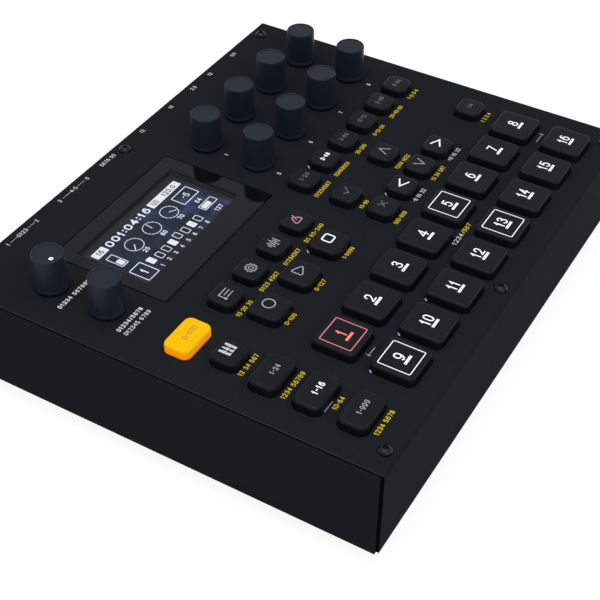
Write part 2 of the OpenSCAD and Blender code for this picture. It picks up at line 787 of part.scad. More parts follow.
// Square computer socket with its contact tongue
module usb_socket() {
    mouth_w = 8.6;
    mouth_h = 7.9;
    mouth_len = 11;
    mouth_corner = 1.6;
    tongue_w = 5.6;
    tongue_h = 3.2;
    tongue_len = 9;
    difference() {
        at(usb_x, usb_body_len / 2, usb_z)
            rotate([90, 0, 0]) linear_extrude(usb_body_len, center = true)
                rounded_plan(usb_body_w, usb_body_h, usb_nose_r);
        at_rear(usb_x, rear_y - mouth_len, usb_z) difference() {
            linear_extrude(mouth_len + eps)
                polygon([[-mouth_w / 2, mouth_h / 2], [mouth_w / 2, mouth_h / 2],
                         [mouth_w / 2, -mouth_h / 2 + mouth_corner],
                         [mouth_w / 2 - mouth_corner, -mouth_h / 2],
                         [-mouth_w / 2 + mouth_corner, -mouth_h / 2],
                         [-mouth_w / 2, -mouth_h / 2 + mouth_corner]]);
            translate([-tongue_w / 2, -tongue_h / 2, -eps])
                cube([tongue_w, tongue_h, tongue_len + eps]);
        }
    }
}

// Low-voltage inlet with its centre pin
module power_inlet() {
    difference() {
        union() {
            at(inlet_x, tray_t + inlet_body_len / 2, main_top_z)
                translate([-inlet_body_w / 2, -inlet_body_len / 2, 0])
                    cube([inlet_body_w, inlet_body_len, inlet_body_h]);
            at_rear(inlet_x, wall_y - eps, inlet_z)
                cylinder(r = inlet_shell_r, h = tray_t + eps);
        }
        at_rear(inlet_x, rear_y - inlet_bore_len, inlet_z) difference() {
            cylinder(r = inlet_bore_r, h = inlet_bore_len + eps);
            translate([0, 0, -eps]) cylinder(r = inlet_pin_r, h = inlet_bore_len - 1);
        }
    }
}

// Body of the power switch, which guides the button's stem
module power_switch() {
    difference() {
        at(power_x, tray_t + power_body_gap + power_body / 2, main_top_z)
            translate([-power_body / 2, -power_body / 2, 0])
                cube([power_body, power_body, inlet_body_h]);
        at_rear(power_x, wall_y - power_body_gap - power_bore_len, power_z)
            cylinder(r = power_stem_r + shaft_gap, h = power_bore_len + eps);
    }
}

// Power button: a round cap and its stem
module power_button() {
    cap_len = tray_t + power_out + 2.4;
    color("#1c1d20") {
        at_rear(power_x, rear_y + power_out - cap_len, power_z) {
            cylinder(r = power_r, h = cap_len - 0.4);
            cylinder(r = power_r - 0.4, h = cap_len);
            translate([0, 0, cap_len - 0.4]) rotate_extrude()
                translate([power_r - 0.4, 0]) intersection() {
                    circle(0.4);
                    square(0.4);
                }
        }
        at_rear(power_x, rear_y + power_out - cap_len - power_stem_len + eps, power_z)
            cylinder(r = power_stem_r, h = power_stem_len);
    }
}

// Four turned rubber feet with a sunk screw seat
module rubber_feet() {
    edge = 1.2;
    draft = 0.8;
    sink_r = screw_head_r + 1.2;
    color("#161719") for (p = FEET) at(p[0], p[1]) difference() {
        rotate_extrude() {
            polygon([[0, 0], [foot_r - draft - edge, 0], [foot_r - draft - edge, edge],
                     [foot_r - draft, edge], [foot_r, foot_h], [0, foot_h]]);
            translate([foot_r - draft - edge, edge]) intersection() {
                circle(edge);
                translate([0, -edge]) square([edge, edge]);
            }
        }
        translate([0, 0, -eps]) cylinder(r = sink_r, h = foot_sink_h + eps);
        translate([0, 0, -eps]) cylinder(r = screw_r + panel_hole_gap, h = foot_h + 1);
    }
}

// Domed screw with a six-sided socket, head up, seated at z = 0
module dome_screw(len) {
    socket_af = 2;
    socket_h = 1;
    thread_gap = 0.05;
    dome_r = (screw_head_r * screw_head_r + screw_head_h * screw_head_h) / (2 * screw_head_h);
    difference() {
        union() {
            rotate_extrude() intersection() {
                translate([0, screw_head_h - dome_r]) circle(dome_r, $fn = 96);
                square([screw_head_r, screw_head_h]);
            }
            translate([0, 0, -len]) cylinder(r = screw_r - thread_gap, h = len + eps);
        }
        translate([0, 0, screw_head_h - socket_h])
            cylinder(r = socket_af / 2 / cos(30), h = socket_h + eps, $fn = 6);
    }
}

// Flat-headed board screw with a crosswise slot, head up, seated at z = 0
module board_screw() {
    slot_w = 0.6;
    slot_h = 0.6;
    thread_gap = 0.05;
    difference() {
        union() {
            cylinder(r = board_head_r, h = board_head_h);
            translate([0, 0, -board_screw_len])
                cylinder(r = board_screw_r - thread_gap, h = board_screw_len + eps);
        }
        for (turn = [0, 90]) rotate([0, 0, turn])
            translate([-1.5, -slot_w / 2, board_head_h - slot_h])
                cube([3, slot_w, slot_h + eps]);
    }
}

// Six-sided nut that holds a jack's bushing to the rear wall
module jack_nut(x) {
    thread_gap = 0.05;
    at_rear(x, rear_y, jack_z) difference() {
        rotate([0, 0, 30]) cylinder(r = nut_af / 2 / cos(30), h = nut_t, $fn = 6);
        translate([0, 0, -eps]) cylinder(r = jack_bushing_r + thread_gap, h = nut_t + 2 * eps);
    }
}

// Every screw and nut: case, feet, boards and jacks
module fasteners() {
    color("#4a4c50") {
        for (p = CASE_SCREWS) at(p[0], p[1], top_z) dome_screw(screw_len);
        for (p = FEET) at(p[0], p[1], foot_sink_h) rotate([180, 0, 0]) dome_screw(screw_len);
        for (p = PANEL_PILLARS) at(p[0], p[1], board_z) rotate([180, 0, 0]) board_screw();
        for (p = MAIN_PILLARS) at(p[0], p[1], main_top_z) board_screw();
        for (x = JACKS) jack_nut(x);
    }
}

// Hollow key cap with a lip under the cover and a stem over its switch
module key_cap(w, d, corner) {
    stop_gap = 0.1;
    lip_top = seat_z - stop_gap;
    lip_z = lip_top - key_lip_t;
    stem_z = board_top_z + switch_h + plunger_h + key_travel + 0.15;
    roof_z = top_z + key_h - key_wall;
    lip_w = w + 2 * (key_gap + key_lip);
    lip_d = d + 2 * (key_gap + key_lip);
    difference() {
        union() {
            translate([0, 0, lip_z])
                soft_block(w, d, top_z + key_h - lip_z, corner, key_edge_r);
            translate([0, 0, lip_z])
                rounded_slab(lip_w, lip_d, key_lip_t, corner + key_gap + key_lip);
        }
        translate([0, 0, lip_z - eps])
            rounded_slab(w - 2 * key_wall, d - 2 * key_wall, roof_z - lip_z + eps,
                         corner - key_wall / 2);
    }
    translate([0, 0, stem_z]) cylinder(r = stem_r, h = roof_z - stem_z + eps);
}

module step_key(k) {
    color("#26272b") at(k[1], k[2]) key_cap(step_size, step_size, step_corner_r);
}

module panel_key(k) {
    color(k[0] == "function_key" ? "#e8b100" : "#26272b")
        at(k[1], k[2]) key_cap(k[3], k[4], key_corner_r);
}

// Tapered knob with a flared foot and a dished top, on its flatted shaft; the volume knob
// has a pointer dot
module knob(k) {
    foot_z = top_z + knob_gap;
    hub_z = foot_z + bushing_over() + 0.8;
    cup_r = bushing_r + 0.9;
    bore_end = top_z + knob_top - 3;
    top = knob_top - knob_gap;
    lip_h = 0.6;
    waist_h = 1.7;
    rim_w = 0.35;
    dot_sink = 0.2;
    color("#56606b") at(k[1], k[2]) difference() {
        translate([0, 0, foot_z]) rotate_extrude() {
            polygon([[0, 0], [knob_foot_r, 0], [knob_foot_r, lip_h],
                     [knob_foot_r - knob_flare, waist_h], [knob_top_r, top - knob_edge_r],
                     [knob_top_r - knob_edge_r, top - knob_edge_r],
                     [knob_top_r - knob_edge_r, top], [0, top]]);
            translate([knob_top_r - knob_edge_r, top - knob_edge_r]) intersection() {
                circle(knob_edge_r);
                square(knob_edge_r);
            }
        }
        translate([0, 0, foot_z - eps]) cylinder(r = cup_r, h = hub_z - foot_z + eps);
        shaft_form(hub_z - eps, bore_end, shaft_seat_gap);
        translate([0, 0, top_z + knob_top - knob_dish])
            cylinder(r = knob_top_r - knob_edge_r - rim_w, h = knob_dish + eps);
        if (k[0] == "volume_knob")
            rotate([0, 0, dot_turn])
                translate([dot_reach, 0, top_z + knob_top - knob_dish - dot_sink])
                    cylinder(r = dot_r, h = knob_dish + dot_sink + eps);
    }
    color("#9a9da1") at(k[1], k[2]) {
        translate([0, 0, shaft_z()])
            cylinder(r = shaft_r, h = hub_z - shaft_end_gap() - shaft_z());
        shaft_form(hub_z - shaft_end_gap() - eps, bore_end - shaft_end_gap(), 0);
    }
}

// Round bar with one flat, between two levels, larger than the shaft by gap
module shaft_form(low, high, gap) {
    translate([0, 0, low]) linear_extrude(high - low) difference() {
        circle(shaft_r + gap);
        translate([shaft_flat + gap, -2 * shaft_r]) square([2 * shaft_r, 4 * shaft_r]);
    }
}

base_case();
top_cover();
display_window();
display_module();
panel_board();
main_board();
rubber_feet();
fasteners();
power_button();
for (k = STEP_KEYS) step_key(k);
for (k = PANEL_KEYS) panel_key(k);
for (k = KNOBS) knob(k);
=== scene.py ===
import math

import bmesh
import bpy
from bpy.props import FloatProperty, FloatVectorProperty, PointerProperty
from mathutils import Euler, Matrix, Vector


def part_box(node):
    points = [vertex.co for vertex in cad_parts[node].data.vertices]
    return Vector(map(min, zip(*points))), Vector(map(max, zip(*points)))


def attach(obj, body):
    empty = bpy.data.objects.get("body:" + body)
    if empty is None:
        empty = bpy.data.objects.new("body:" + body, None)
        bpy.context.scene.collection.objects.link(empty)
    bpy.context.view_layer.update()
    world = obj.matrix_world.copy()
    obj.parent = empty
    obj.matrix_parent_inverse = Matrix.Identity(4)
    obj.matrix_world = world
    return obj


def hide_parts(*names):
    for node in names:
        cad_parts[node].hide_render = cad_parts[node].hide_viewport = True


bl_info = {
    "name": "Drum Machine Looks",
    "version": (1, 0, 0),
    "blender": (4, 5, 0),
    "location": "3D View > Sidebar > Drum Machine",
    "description": "Finishes, printing, lit keys and screen of a desktop drum machine",
    "category": "Object",
}

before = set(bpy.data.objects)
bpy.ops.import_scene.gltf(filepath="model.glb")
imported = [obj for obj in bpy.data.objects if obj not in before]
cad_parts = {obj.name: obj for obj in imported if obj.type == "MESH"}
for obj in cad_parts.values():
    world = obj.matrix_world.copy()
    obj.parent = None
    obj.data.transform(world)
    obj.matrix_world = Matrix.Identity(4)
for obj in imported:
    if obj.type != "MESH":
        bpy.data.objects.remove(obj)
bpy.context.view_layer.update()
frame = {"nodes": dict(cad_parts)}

MM = 0.001
CHASSIS = "chassis"

# Faces of the case that places are taken from
TRAY_LOW, TRAY_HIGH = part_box("base_case")
PANEL_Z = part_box("top_cover")[1].z
SEAT_Z = TRAY_HIGH.z
LEFT_X = TRAY_LOW.x
REAR_Y = TRAY_HIGH.y
PANEL_ORIGIN = Vector((LEFT_X, REAR_Y, PANEL_Z))

STEP_KEYS = [f"step_key_{i}" for i in range(1, 17)]
BEAT_KEYS = STEP_KEYS[::4]
LIT_KEY = "function_key"
KEY_LIP = 1.25  # lip round a key's foot, below the panel, in millimetres
KNOBS = ["volume_knob", "level_knob"] + [f"data_knob_{c}" for c in "abcdefgh"]

# Sockets on the main board, in millimetres: places are from the left edge, axes are above the
# board, and ends are from the rear face
BOARD_TOP = 14.8  # above the table
JACKS, JACK_AXIS = [12.2 + 16.1 * i for i in range(5)], 6.5
BUSHING_RADIUS, BUSHING_END = 4.85, -1.0
ROUND_SOCKETS, ROUND_AXIS = [93.2, 114.0, 134.8], 9.7
SHELL_INNER, SHELL_OUTER, SHELL_END = 6.6, 7.45, -9.0
PIN_REACH, PIN_RADIUS, PIN_END = 3.5, 0.8, -0.1
COMPUTER_SOCKET, COMPUTER_AXIS = 152.0, 5.4
CAN_HALF, CAN_END, CORE_HALF, CORE_HALF_HEIGHT = 6.1, -16.1, 2.85, 1.65
POWER_INLET, INLET_AXIS, INLET_PIN = 165.0, 5.5, 1.05


# ---- settings


def tone(name, default):
    """Colour property, in linear light."""
    return FloatVectorProperty(name=name, description=f"{name}, in linear light",
                               default=default, subtype="COLOR", size=3, min=0.0, max=1.0)


def number(name, default, note="in metres", **kind):
    """Property of one number, which is a length unless its kind is given."""
    kind = kind or {"subtype": "DISTANCE", "unit": "LENGTH", "precision": 5}
    return FloatProperty(name=name, description=f"{name}, {note}", default=default, min=0.0,
                         **kind)


class DrumFinishSettings(bpy.types.PropertyGroup):
    """Colours of every finish."""

    coat: tone("Powder coat", (0.0148, 0.0176, 0.0210))
    key: tone("Dark keys", (0.0082, 0.0103, 0.0145))
    knob: tone("Knobs", (0.0152, 0.0226, 0.0338))
    amber: tone("Lit key", (0.60, 0.33, 0.001))
    amber_low: tone("Lit key, low on its sides", (1.0, 0.225, 0.0065))
    # Painted shade: the lit key just below the panel, so the gap round it shows dark
    amber_lip: tone("Lit key, below the panel", (0.05, 0.004, 0.003))
    amber_mark: tone("Mark on the lit key", (0.50, 0.31, 0.05))
    white: tone("White print and lit marks", (0.82, 0.84, 0.86))
    pale: tone("Marks a little dimmer than white", (0.62, 0.67, 0.72))
    mid: tone("Marks that are half lit", (0.42, 0.44, 0.48))
    grey: tone("Marks that aren't lit", (0.16, 0.17, 0.20))
    yellow: tone("Yellow print", (0.95, 0.65, 0.008))
    red: tone("Digit of the first step", (1.0, 0.20, 0.14))
    rose: tone("Frame of the first step", (0.74, 0.19, 0.22))
    pink: tone("Mark of the tempo key", (0.62, 0.30, 0.38))
    # Painted glow: the backlight seen in the gap round a lit key
    leak: tone("Light in the gap behind a lit key", (0.62, 0.74, 1.0))
    screen: tone("Glow of the screen's ground", (0.0085, 0.0145, 0.034))
    patch: tone("Bluer glow toward the screen's right end", (0.03, 0.06, 0.16))
    window: tone("Black print under the window", (0.004, 0.004, 0.0045))
    rubber: tone("Feet", (0.012, 0.012, 0.012))
    plating: tone("Plated nuts, shells and pins", (0.55, 0.54, 0.52))
    steel: tone("Blackened screws", (0.010, 0.012, 0.0145))
    board: tone("Circuit boards", (0.008, 0.045, 0.02))
    plastic: tone("Black plastic", (0.012, 0.012, 0.013))


class DrumPrintSettings(bpy.types.PropertyGroup):
    """Sizes of the printing and of the marks on keys, with places from a key's middle."""

    thickness: number("Printing, thickness", 0.00003)
    digit: number("Step digits, height", 0.00440)
    digit_line: number("Step digits, line width", 0.00058)
    digit_rise: number("Step digits, place to the rear", 0.00092)
    bar: number("Step bar, length", 0.0047)
    bar_line: number("Step bar, width", 0.00105)
    bar_drop: number("Step bar, place to the front", 0.00238)
    frame: number("Beat frame, side", 0.0122)
    frame_line: number("Beat frame, line width", 0.00037)
    label: number("Panel labels, height", 0.00185)
    label_line: number("Panel labels, line width", 0.00026)


class DrumStageSettings(bpy.types.PropertyGroup):
    """Camera, lamps and floor."""

    eye: FloatVectorProperty(
        name="Camera place", description="Place of the camera", subtype="TRANSLATION",
        default=(-0.34989, -0.19686, 0.35820), unit="LENGTH", size=3, precision=5)
    turn: FloatVectorProperty(
        name="Camera turn", description="Rotation of the camera", subtype="EULER",
        default=[math.radians(a) for a in (48.041, -0.524, -59.719)], unit="ROTATION", size=3)
    lens: FloatProperty(name="Lens", description="Focal length", default=78.57, unit="CAMERA",
                        min=10.0)
    floor_radius: number("Radius of the flat floor", 2.4)
    floor_rise: number("Height of the rim round the floor", 1.0)
    top_power: number("Large lamp overhead", 8.0, "in watts", unit="POWER")
    front_power: number("Lamp at the front left", 1.6, "in watts", unit="POWER")
    right_power: number("Lamp at the front right", 0.8, "in watts", unit="POWER")
    sky_low: number("Light near the horizon", 0.30, "as a share", max=1.0)
    sky_high: number("Light overhead", 0.50, "as a share", max=1.0)


# ---- materials


class Finish:
    """One material, with short calls that add and join its nodes. Sizes are in metres."""

    def __init__(self, name, color, roughness, specular=0.5, metallic=0.0):
        self.material = bpy.data.materials.new(name)
        self.material.use_nodes = True
        self.tree = self.material.node_tree
        self.tree.nodes.clear()
        self.output = self.add("OutputMaterial")
        self.bsdf = self.add("BsdfPrincipled", {
            "Base Color": color, "Roughness": roughness, "Specular IOR Level": specular,
            "Metallic": metallic})
        self.join(self.bsdf.outputs["BSDF"], self.output.inputs["Surface"])
        self.place = self.add("TexCoord").outputs["Object"]

    def add(self, kind, inputs=(), **values):
        """Node of one kind, with what goes into its inputs, and its other settings."""
        node = self.tree.nodes.new("ShaderNode" + kind)
        for name, value in values.items():
            setattr(node, name, value)
        for socket, value in dict(inputs).items():
            self.join(value, node.inputs[socket])
        return node

    def join(self, value, socket):
        """Gives an input another node's output, or a value of its own."""
        if isinstance(value, bpy.types.NodeSocket):
            self.tree.links.new(value, socket)
        else:
            socket.default_value = (*value, 1.0) if socket.type == "RGBA" else value

    def set(self, name, value):
        self.join(value, self.bsdf.inputs[name])

    def noise(self, size, detail=2.0):
        """Noise whose features are about one size across."""
        return self.add("TexNoise", {
            "Scale": 1.0 / size, "Detail": detail, "Vector": self.place}).outputs["Fac"]

    def scaled(self, source, low, high, to_low=0.0, to_high=1.0):
        """Value between low and high, taken to another range and held there."""
        return self.add("MapRange", {
            "Value": source, "From Min": low, "From Max": high, "To Min": to_low,
            "To Max": to_high}).outputs["Result"]

    def level(self, axis="Z"):
        """One coordinate of the place."""
        return self.add("SeparateXYZ", {"Vector": self.place}).outputs[axis]

    def math(self, operation, first, second=0.0, clamp=False):
        return self.add("Math", {0: first, 1: second}, operation=operation,
                        use_clamp=clamp).outputs[0]

    def ramp(self, source, stops):
        """Colour ramp: stops are (position, colour)."""
        node = self.add("ValToRGB", {"Fac": source})
        elements = node.color_ramp.elements
        while len(elements) > 1:
            elements.remove(elements[-1])
        elements[0].position, elements[0].color = stops[0][0], (*stops[0][1], 1.0)
        for position, color in stops[1:]:
            elements.new(position).color = (*color, 1.0)
        return node.outputs["Color"]

    def mix(self, factor, first, second):
        """Second colour over the first."""
        node = self.add("Mix", data_type="RGBA")
        for name, value in (("Factor", factor), ("A", first), ("B", second)):
            self.join(value, next(s for s in node.inputs if s.name == name and s.enabled))
        return next(s for s in node.outputs if s.enabled)

    def wander(self, color, size, spread):
        """Colour that wanders a little either way, as moulded and coated surfaces do."""
        low, high = ([c * (1.0 + way * spread) for c in color] for way in (-1, 1))
        return self.ramp(self.noise(size), [(0.3, low), (0.7, high)])

    def vary(self, size, low, high):
        """Roughness that wanders between two levels."""
        self.set("Roughness", self.scaled(self.noise(size), 0.0, 1.0, low, high))

    def grain(self, size, depth, detail=2.0):
        """Bump of one grain size and depth."""
        bump = self.add("Bump", {"Distance": depth,
                                           "Height": self.noise(size, detail)})
        self.set("Normal", bump.outputs["Normal"])

    def glow(self, color, strength):
        self.set("Emission Color", color)
        self.set("Emission Strength", strength)


def plain(name, color, roughness, specular, mottle, vary=None, grain=None, metallic=0.0):
    """Finish of one colour: mottle is (size, spread), vary is (size, low, high) of its
    roughness, and grain is (size, depth, detail)."""
    made = Finish(name, color, roughness, specular, metallic)
    made.set("Base Color", made.wander(color, *mottle))
    if vary:
        made.vary(*vary)
    if grain:
        made.grain(*grain)
    return made


def powder_coat(name, finish, painted_seam_x=None):
    """Matte coat; sideways past painted_seam_x it has a painted seam: painted shade on the
    sheet's cut edge under a painted highlight line.
    """
    made = Finish(name, finish.coat, 0.75, specular=0.012)
    color = made.mix(0.5, made.wander(finish.coat, 0.0009, 0.16),
                     made.wander(finish.coat, 0.05, 0.10))
    if painted_seam_x:
        across = made.math("ABSOLUTE", made.level("X"))
        # Painted shade on the cut edge and a painted highlight along its top, standing in for
        # the shadowed seam and the lit edge
        dark, light = ([f * c for c in finish.coat] for f in (0.12, 2.6))
        edge = made.ramp(made.scaled(made.level(), SEAT_Z, PANEL_Z),
                         [(0.0, dark), (0.40, dark), (0.60, light)])
        color = made.mix(made.scaled(across, painted_seam_x, painted_seam_x + 0.01 * MM), color, edge)
    made.set("Base Color", color)
    made.vary(0.006, 0.70, 0.82)
    made.grain(0.00035, 0.000018, detail=3.0)
    return made.material


def dark_foot(made, color, dark, low, high, size, spread):
    """Share of the way from low to high, in millimetres above the panel, and a colour with
    painted shade below it, where a part meets the panel."""
    above = made.scaled(made.level(), PANEL_Z + low * MM, PANEL_Z + high * MM)
    foot = [dark * c for c in color]
    return above, made.mix(above, foot, made.wander(color, size, spread))


def knob_plastic(finish):
    made = Finish("knob_plastic", finish.knob, 0.42, specular=0.17)
    # Painted shade: the knob's foot is darkened to a quarter near the panel, where the gap under
    # it is in shadow
    made.set("Base Color", dark_foot(made, finish.knob, 0.25, 0.8, 1.4, 0.002, 0.06)[1])
    made.vary(0.004, 0.38, 0.46)
    made.grain(0.00022, 0.000006)
    return made.material


def lit_plastic(finish, low_z, high_z):
    """Glowing plastic, deeper in colour low on its sides, with painted dark shade below the
    panel where its lip shows in the gap.
    """
    made = Finish("lit_plastic", finish.amber, 0.4, specular=0.05)
    color = made.ramp(made.scaled(made.level(), low_z, high_z),
                      [(0.0, finish.amber_low), (0.75, finish.amber)])
    # Painted shade from just below the panel downward, so the gap round the lit key looks dark
    above = made.scaled(made.level(), low_z - 0.3 * MM, low_z + 0.1 * MM)
    color = made.mix(above, finish.amber_lip, color)
    made.set("Base Color", color)
    made.glow(color, 0.73)
    made.grain(0.0003, 0.000005)
    return made.material


def print_ink(name, color, glow=0.0):
    made = plain(name, color, 0.5, 0.3, mottle=(0.0012, 0.04), vary=(0.002, 0.45, 0.55))
    if glow:
        made.glow(color, glow)
    return made.material


def window_rim(finish):
    """Clear sheet over black print, so it is as smooth as glass."""
    made = plain("window_rim", finish.window, 0.06, 0.42, mottle=(0.004, 0.05),
                 vary=(0.02, 0.04, 0.08))
    made.set("Specular Tint", (0.86, 0.90, 1.0))
    return made.material


def window_pane():
    made = Finish("window_pane", (0.86, 0.87, 0.89), 0.02)
    made.set("Transmission Weight", 1.0)
    made.set("IOR", 1.25)
    made.vary(0.02, 0.0, 0.02)
    return made.material


def screen_ground(finish):
    """Dark glass of the screen with a faint glow and bluer patches toward its right end."""
    made = plain("screen_ground", (0.001, 0.001, 0.001), 0.3, 0.0, mottle=(0.004, 0.1))
    right_end = made.scaled(made.level("X"), LEFT_X + 50 * MM, LEFT_X + 96 * MM, 0.25, 1.0)
    patches = made.math("MULTIPLY", right_end, made.scaled(made.noise(0.009), 0.48, 0.66))
    made.glow(made.mix(patches, made.wander(finish.screen, 0.0006, 0.5), finish.patch), 1.0)
    return made.material


def screw_metal(finish):
    """Blackened screws with painted shade and less sheen at their heads' foot, and bright nuts
    behind the rear face.
    """
    made = Finish("screw_metal", finish.steel, 0.24)
    above, steel = dark_foot(made, finish.steel, 0.2, 0.25, 0.5, 0.002, 0.05)
    # The sheen also fades out toward the heads' foot, as part of the painted shade
    made.set("Specular IOR Level", made.scaled(above, 0.0, 1.0, 0.02, 0.24))
    nuts = made.scaled(made.level("Y"), REAR_Y - 0.06 * MM, REAR_Y - 0.05 * MM)
    made.set("Base Color", made.mix(nuts, steel, made.wander(finish.plating, 0.001, 0.06)))
    made.set("Metallic", nuts)
    made.vary(0.004, 0.21, 0.27)
    return made.material


def board_mask(finish):
    return plain("board_mask", finish.board, 0.35, 0.5, mottle=(0.003, 0.25),
                 vary=(0.004, 0.3, 0.45)).material


def dress(node, material):
    """Gives a CAD node its finish."""
    for slot in frame["nodes"][node].material_slots:
        slot.material = material


# ---- outlines


def round_corners(points, radius, steps=4):
    """Closed path through points, with an arc of one radius at each corner."""
    path = []
    count = len(points)
    for i, point in enumerate(points):
        corner = Vector(point)
        back = (Vector(points[i - 1]) - corner).normalized()
        ahead = (Vector(points[(i + 1) % count]) - corner).normalized()
        half = back.angle(ahead) / 2
        centre = corner + (back + ahead).normalized() * radius / math.sin(half)
        start = corner + back * radius / math.tan(half) - centre
        sweep = (math.pi - 2 * half) * (1 if back.cross(ahead) < 0 else -1)
        for k in range(steps + 1):
            path.append(centre + Matrix.Rotation(sweep * k / steps, 2) @ start)
    return path


def arc(x, y, radius, start, end, steps=24):
    """Points on an arc, its angles in degrees from the right."""
    angles = [math.radians(start + (end - start) * k / steps) for k in range(steps + 1)]
    return [(x + radius * math.cos(a), y + radius * math.sin(a)) for a in angles]


def circle(x, y, radius, steps=40):
    return arc(x, y, radius, 0, 360 * (1 - 1 / steps), steps - 1)


def box_path(x, y, width, height, radius):
    """Closed path round a box, given by its middle."""
    w, h = width / 2, height / 2
    corners = [(x - w, y - h), (x + w, y - h), (x + w, y + h), (x - w, y + h)]
    return round_corners(corners, radius)


def smooth_path(points, closed, steps=5):
    """Smooth curve through points."""
    count = len(points)
    path = []
    for i in range(count if closed else count - 1):
        p0, p1, p2, p3 = (Vector(points[j % count if closed else min(max(j, 0), count - 1)])
                          for j in range(i - 1, i + 3))
        for k in range(steps):
            t = k / steps
            path.append(0.5 * (2 * p1 + (p2 - p0) * t + (2 * p0 - 5 * p1 + 4 * p2 - p3) * t * t
                               + (3 * p1 - p0 - 3 * p2 + p3) * t ** 3))
    return path if closed else path + [Vector(points[-1])]


def dots(text):
    return [tuple(int(n) / 100 for n in word.split(",")) for word in text.split()]


# Strokes of each character, their points in hundredths of its cell from its middle. Curves and
# loops are smooth, and loops are closed.
STROKES = {char: [(kind, dots(points)) for kind, points in strokes] for char, strokes in {
    "0": [("loop", "-50,0 -44,34 0,50 44,34 50,0 44,-34 0,-50 -44,-34")],
    "1": [("line", "-42,20 10,44"), ("line", "10,50 10,-50")],
    "2": [("curve", "-46,22 -30,44 2,50 36,42 45,20 28,-5 -50,-50"), ("line", "-50,-50 50,-50")],
    "3": [("curve", "-42,34 -20,48 10,50 38,40 42,24 28,8 -5,4"),
          ("curve", "-5,4 30,0 50,-20 40,-42 10,-50 -25,-47 -46,-34")],
    "4": [("line", "22,-50 22,50"), ("line", "22,50 -50,-20 50,-20")],
    "5": [("line", "40,50 -34,50 -42,4"),
          ("curve", "-42,4 -10,16 25,12 48,-14 36,-42 0,-50 -30,-46 -48,-34")],
    "6": [("loop", "-50,-18 -36,8 0,16 38,6 50,-18 36,-42 0,-50 -36,-42"),
          ("curve", "-50,-18 -44,16 -22,40 10,50 36,44")],
    "7": [("line", "-50,50 50,50 -12,-50")],
    "8": [("loop", "0,50 38,40 40,20 0,4 -40,20 -38,40"),
          ("loop", "0,4 46,-14 44,-40 0,-50 -44,-40 -46,-14")],
    "-": [("line", "-40,0 40,0")],
    "+": [("line", "-40,0 40,0"), ("line", "0,-26 0,26")],
    "/": [("line", "-45,-50 45,50")],
    ".": [("line", "0,-50 0,-49")],
    ":": [("line", "0,-36 0,-35"), ("line", "0,20 0,21")],
    " ": [],
}.items()}
STROKES["9"] = [(kind, [(-x, -y) for x, y in points]) for kind, points in STROKES["6"]]

# Width of a character's cell for its height
CELL = {"1": 0.38, "-": 0.38, "+": 0.50, "/": 0.36, ".": 0.14, ":": 0.14, " ": 0.26}
CELL_OF_DIGIT = 0.58
LETTER_GAP = 0.17


class Print:
    """Flat marks drawn in millimetres on one face, x to the right and y to the rear."""

    LAYER = 0.0002  # how much higher each mark lies than the one before
    LEAST_MITRE = 0.3

    def __init__(self):
        self.bm = bmesh.new()
        self.height = 0.0

    def stroke(self, points, width, closed=False):
        """Band of one width along a path, with mitred corners and square ends."""
        path = [Vector(p).to_2d() for p in points]
        count = len(path)
        sections = []
        for i, point in enumerate(path):
            ahead = path[(i + 1) % count] - point if closed or i < count - 1 else None
            behind = point - path[i - 1] if closed or i else None
            ahead = (ahead or behind).normalized()
            behind = (behind or ahead).normalized()
            along = (ahead + behind).normalized()
            reach = width / 2 / max(along.dot(ahead), self.LEAST_MITRE)
            side = Vector((-along.y, along.x)) * reach
            sections.append((point + side, point - side))
        if not closed:
            before, beyond = ((path[i] - path[j]).normalized() * width / 2
                              for i, j in ((0, 1), (-1, -2)))
            sections.insert(0, [p + before for p in sections[0]])
            sections.append([p + beyond for p in sections[-1]])
        self.height += self.LAYER
        pair = [self.bm.verts.new((*p, self.height)) for p in sections[0]]
        edge = begin = self.bm.edges.new(pair)
        for section in sections[1:]:
            made = bmesh.ops.extrude_edge_only(self.bm, edges=[edge])["geom"]
            edge = next(e for e in made if isinstance(e, bmesh.types.BMEdge)
                        and pair[0] not in e.verts and pair[1] not in e.verts)
            ends = [next(v for v in edge.verts if self.bm.edges.get((v, old))) for old in pair]
            for vert, place in zip(ends, section):
                vert.co = (*place, self.height)
            pair = ends
        if closed:
            bmesh.ops.bridge_loops(self.bm, edges=[edge, begin])

    def fill(self, points):
        self.height += self.LAYER
        verts = [self.bm.verts.new((*Vector(p).to_2d(), self.height)) for p in points]
        bmesh.ops.contextual_create(self.bm, geom=verts)

    def text(self, words, height, x, y, line, span=None):
        """Characters of one height and line width round x, widened or narrowed to a span."""
        cells = [CELL.get(c, CELL_OF_DIGIT) * height for c in words]
        gap = LETTER_GAP * height
        width = sum(cells) + gap * (len(words) - 1)
        if span:
            cells, gap, width = [c * span / width for c in cells], gap * span / width, span
        left = x - width / 2
        for char, cell in zip(words, cells):
            middle = left + cell / 2
            for kind, points in STROKES[char]:
                path = [(middle + u * (cell - line), y + v * (height - line))
                        for u, v in points]
                if kind != "line":
                    path = smooth_path(path, kind == "loop")
                self.stroke(path, line, closed=kind == "loop")
            left += cell + gap

    def place(self, name, origin, material, body, slot, thickness):
        """Turns the marks into a thin raised piece on a face, at an origin in metres."""
        bm = self.bm
        bm.normal_update()
        bmesh.ops.reverse_faces(bm, faces=[f for f in bm.faces if f.normal.z < 0])
        made = bmesh.ops.extrude_face_region(bm, geom=list(bm.faces))["geom"]
        top = [v for v in made if isinstance(v, bmesh.types.BMVert)]
        bmesh.ops.translate(bm, verts=top, vec=(0.0, 0.0, thickness / MM))
        bmesh.ops.recalc_face_normals(bm, faces=bm.faces)
        bmesh.ops.scale(bm, verts=bm.verts, vec=(MM, MM, MM))
        bmesh.ops.translate(bm, verts=bm.verts, vec=origin)
        return add_piece(name, bm, [material], body)


# ---- pieces


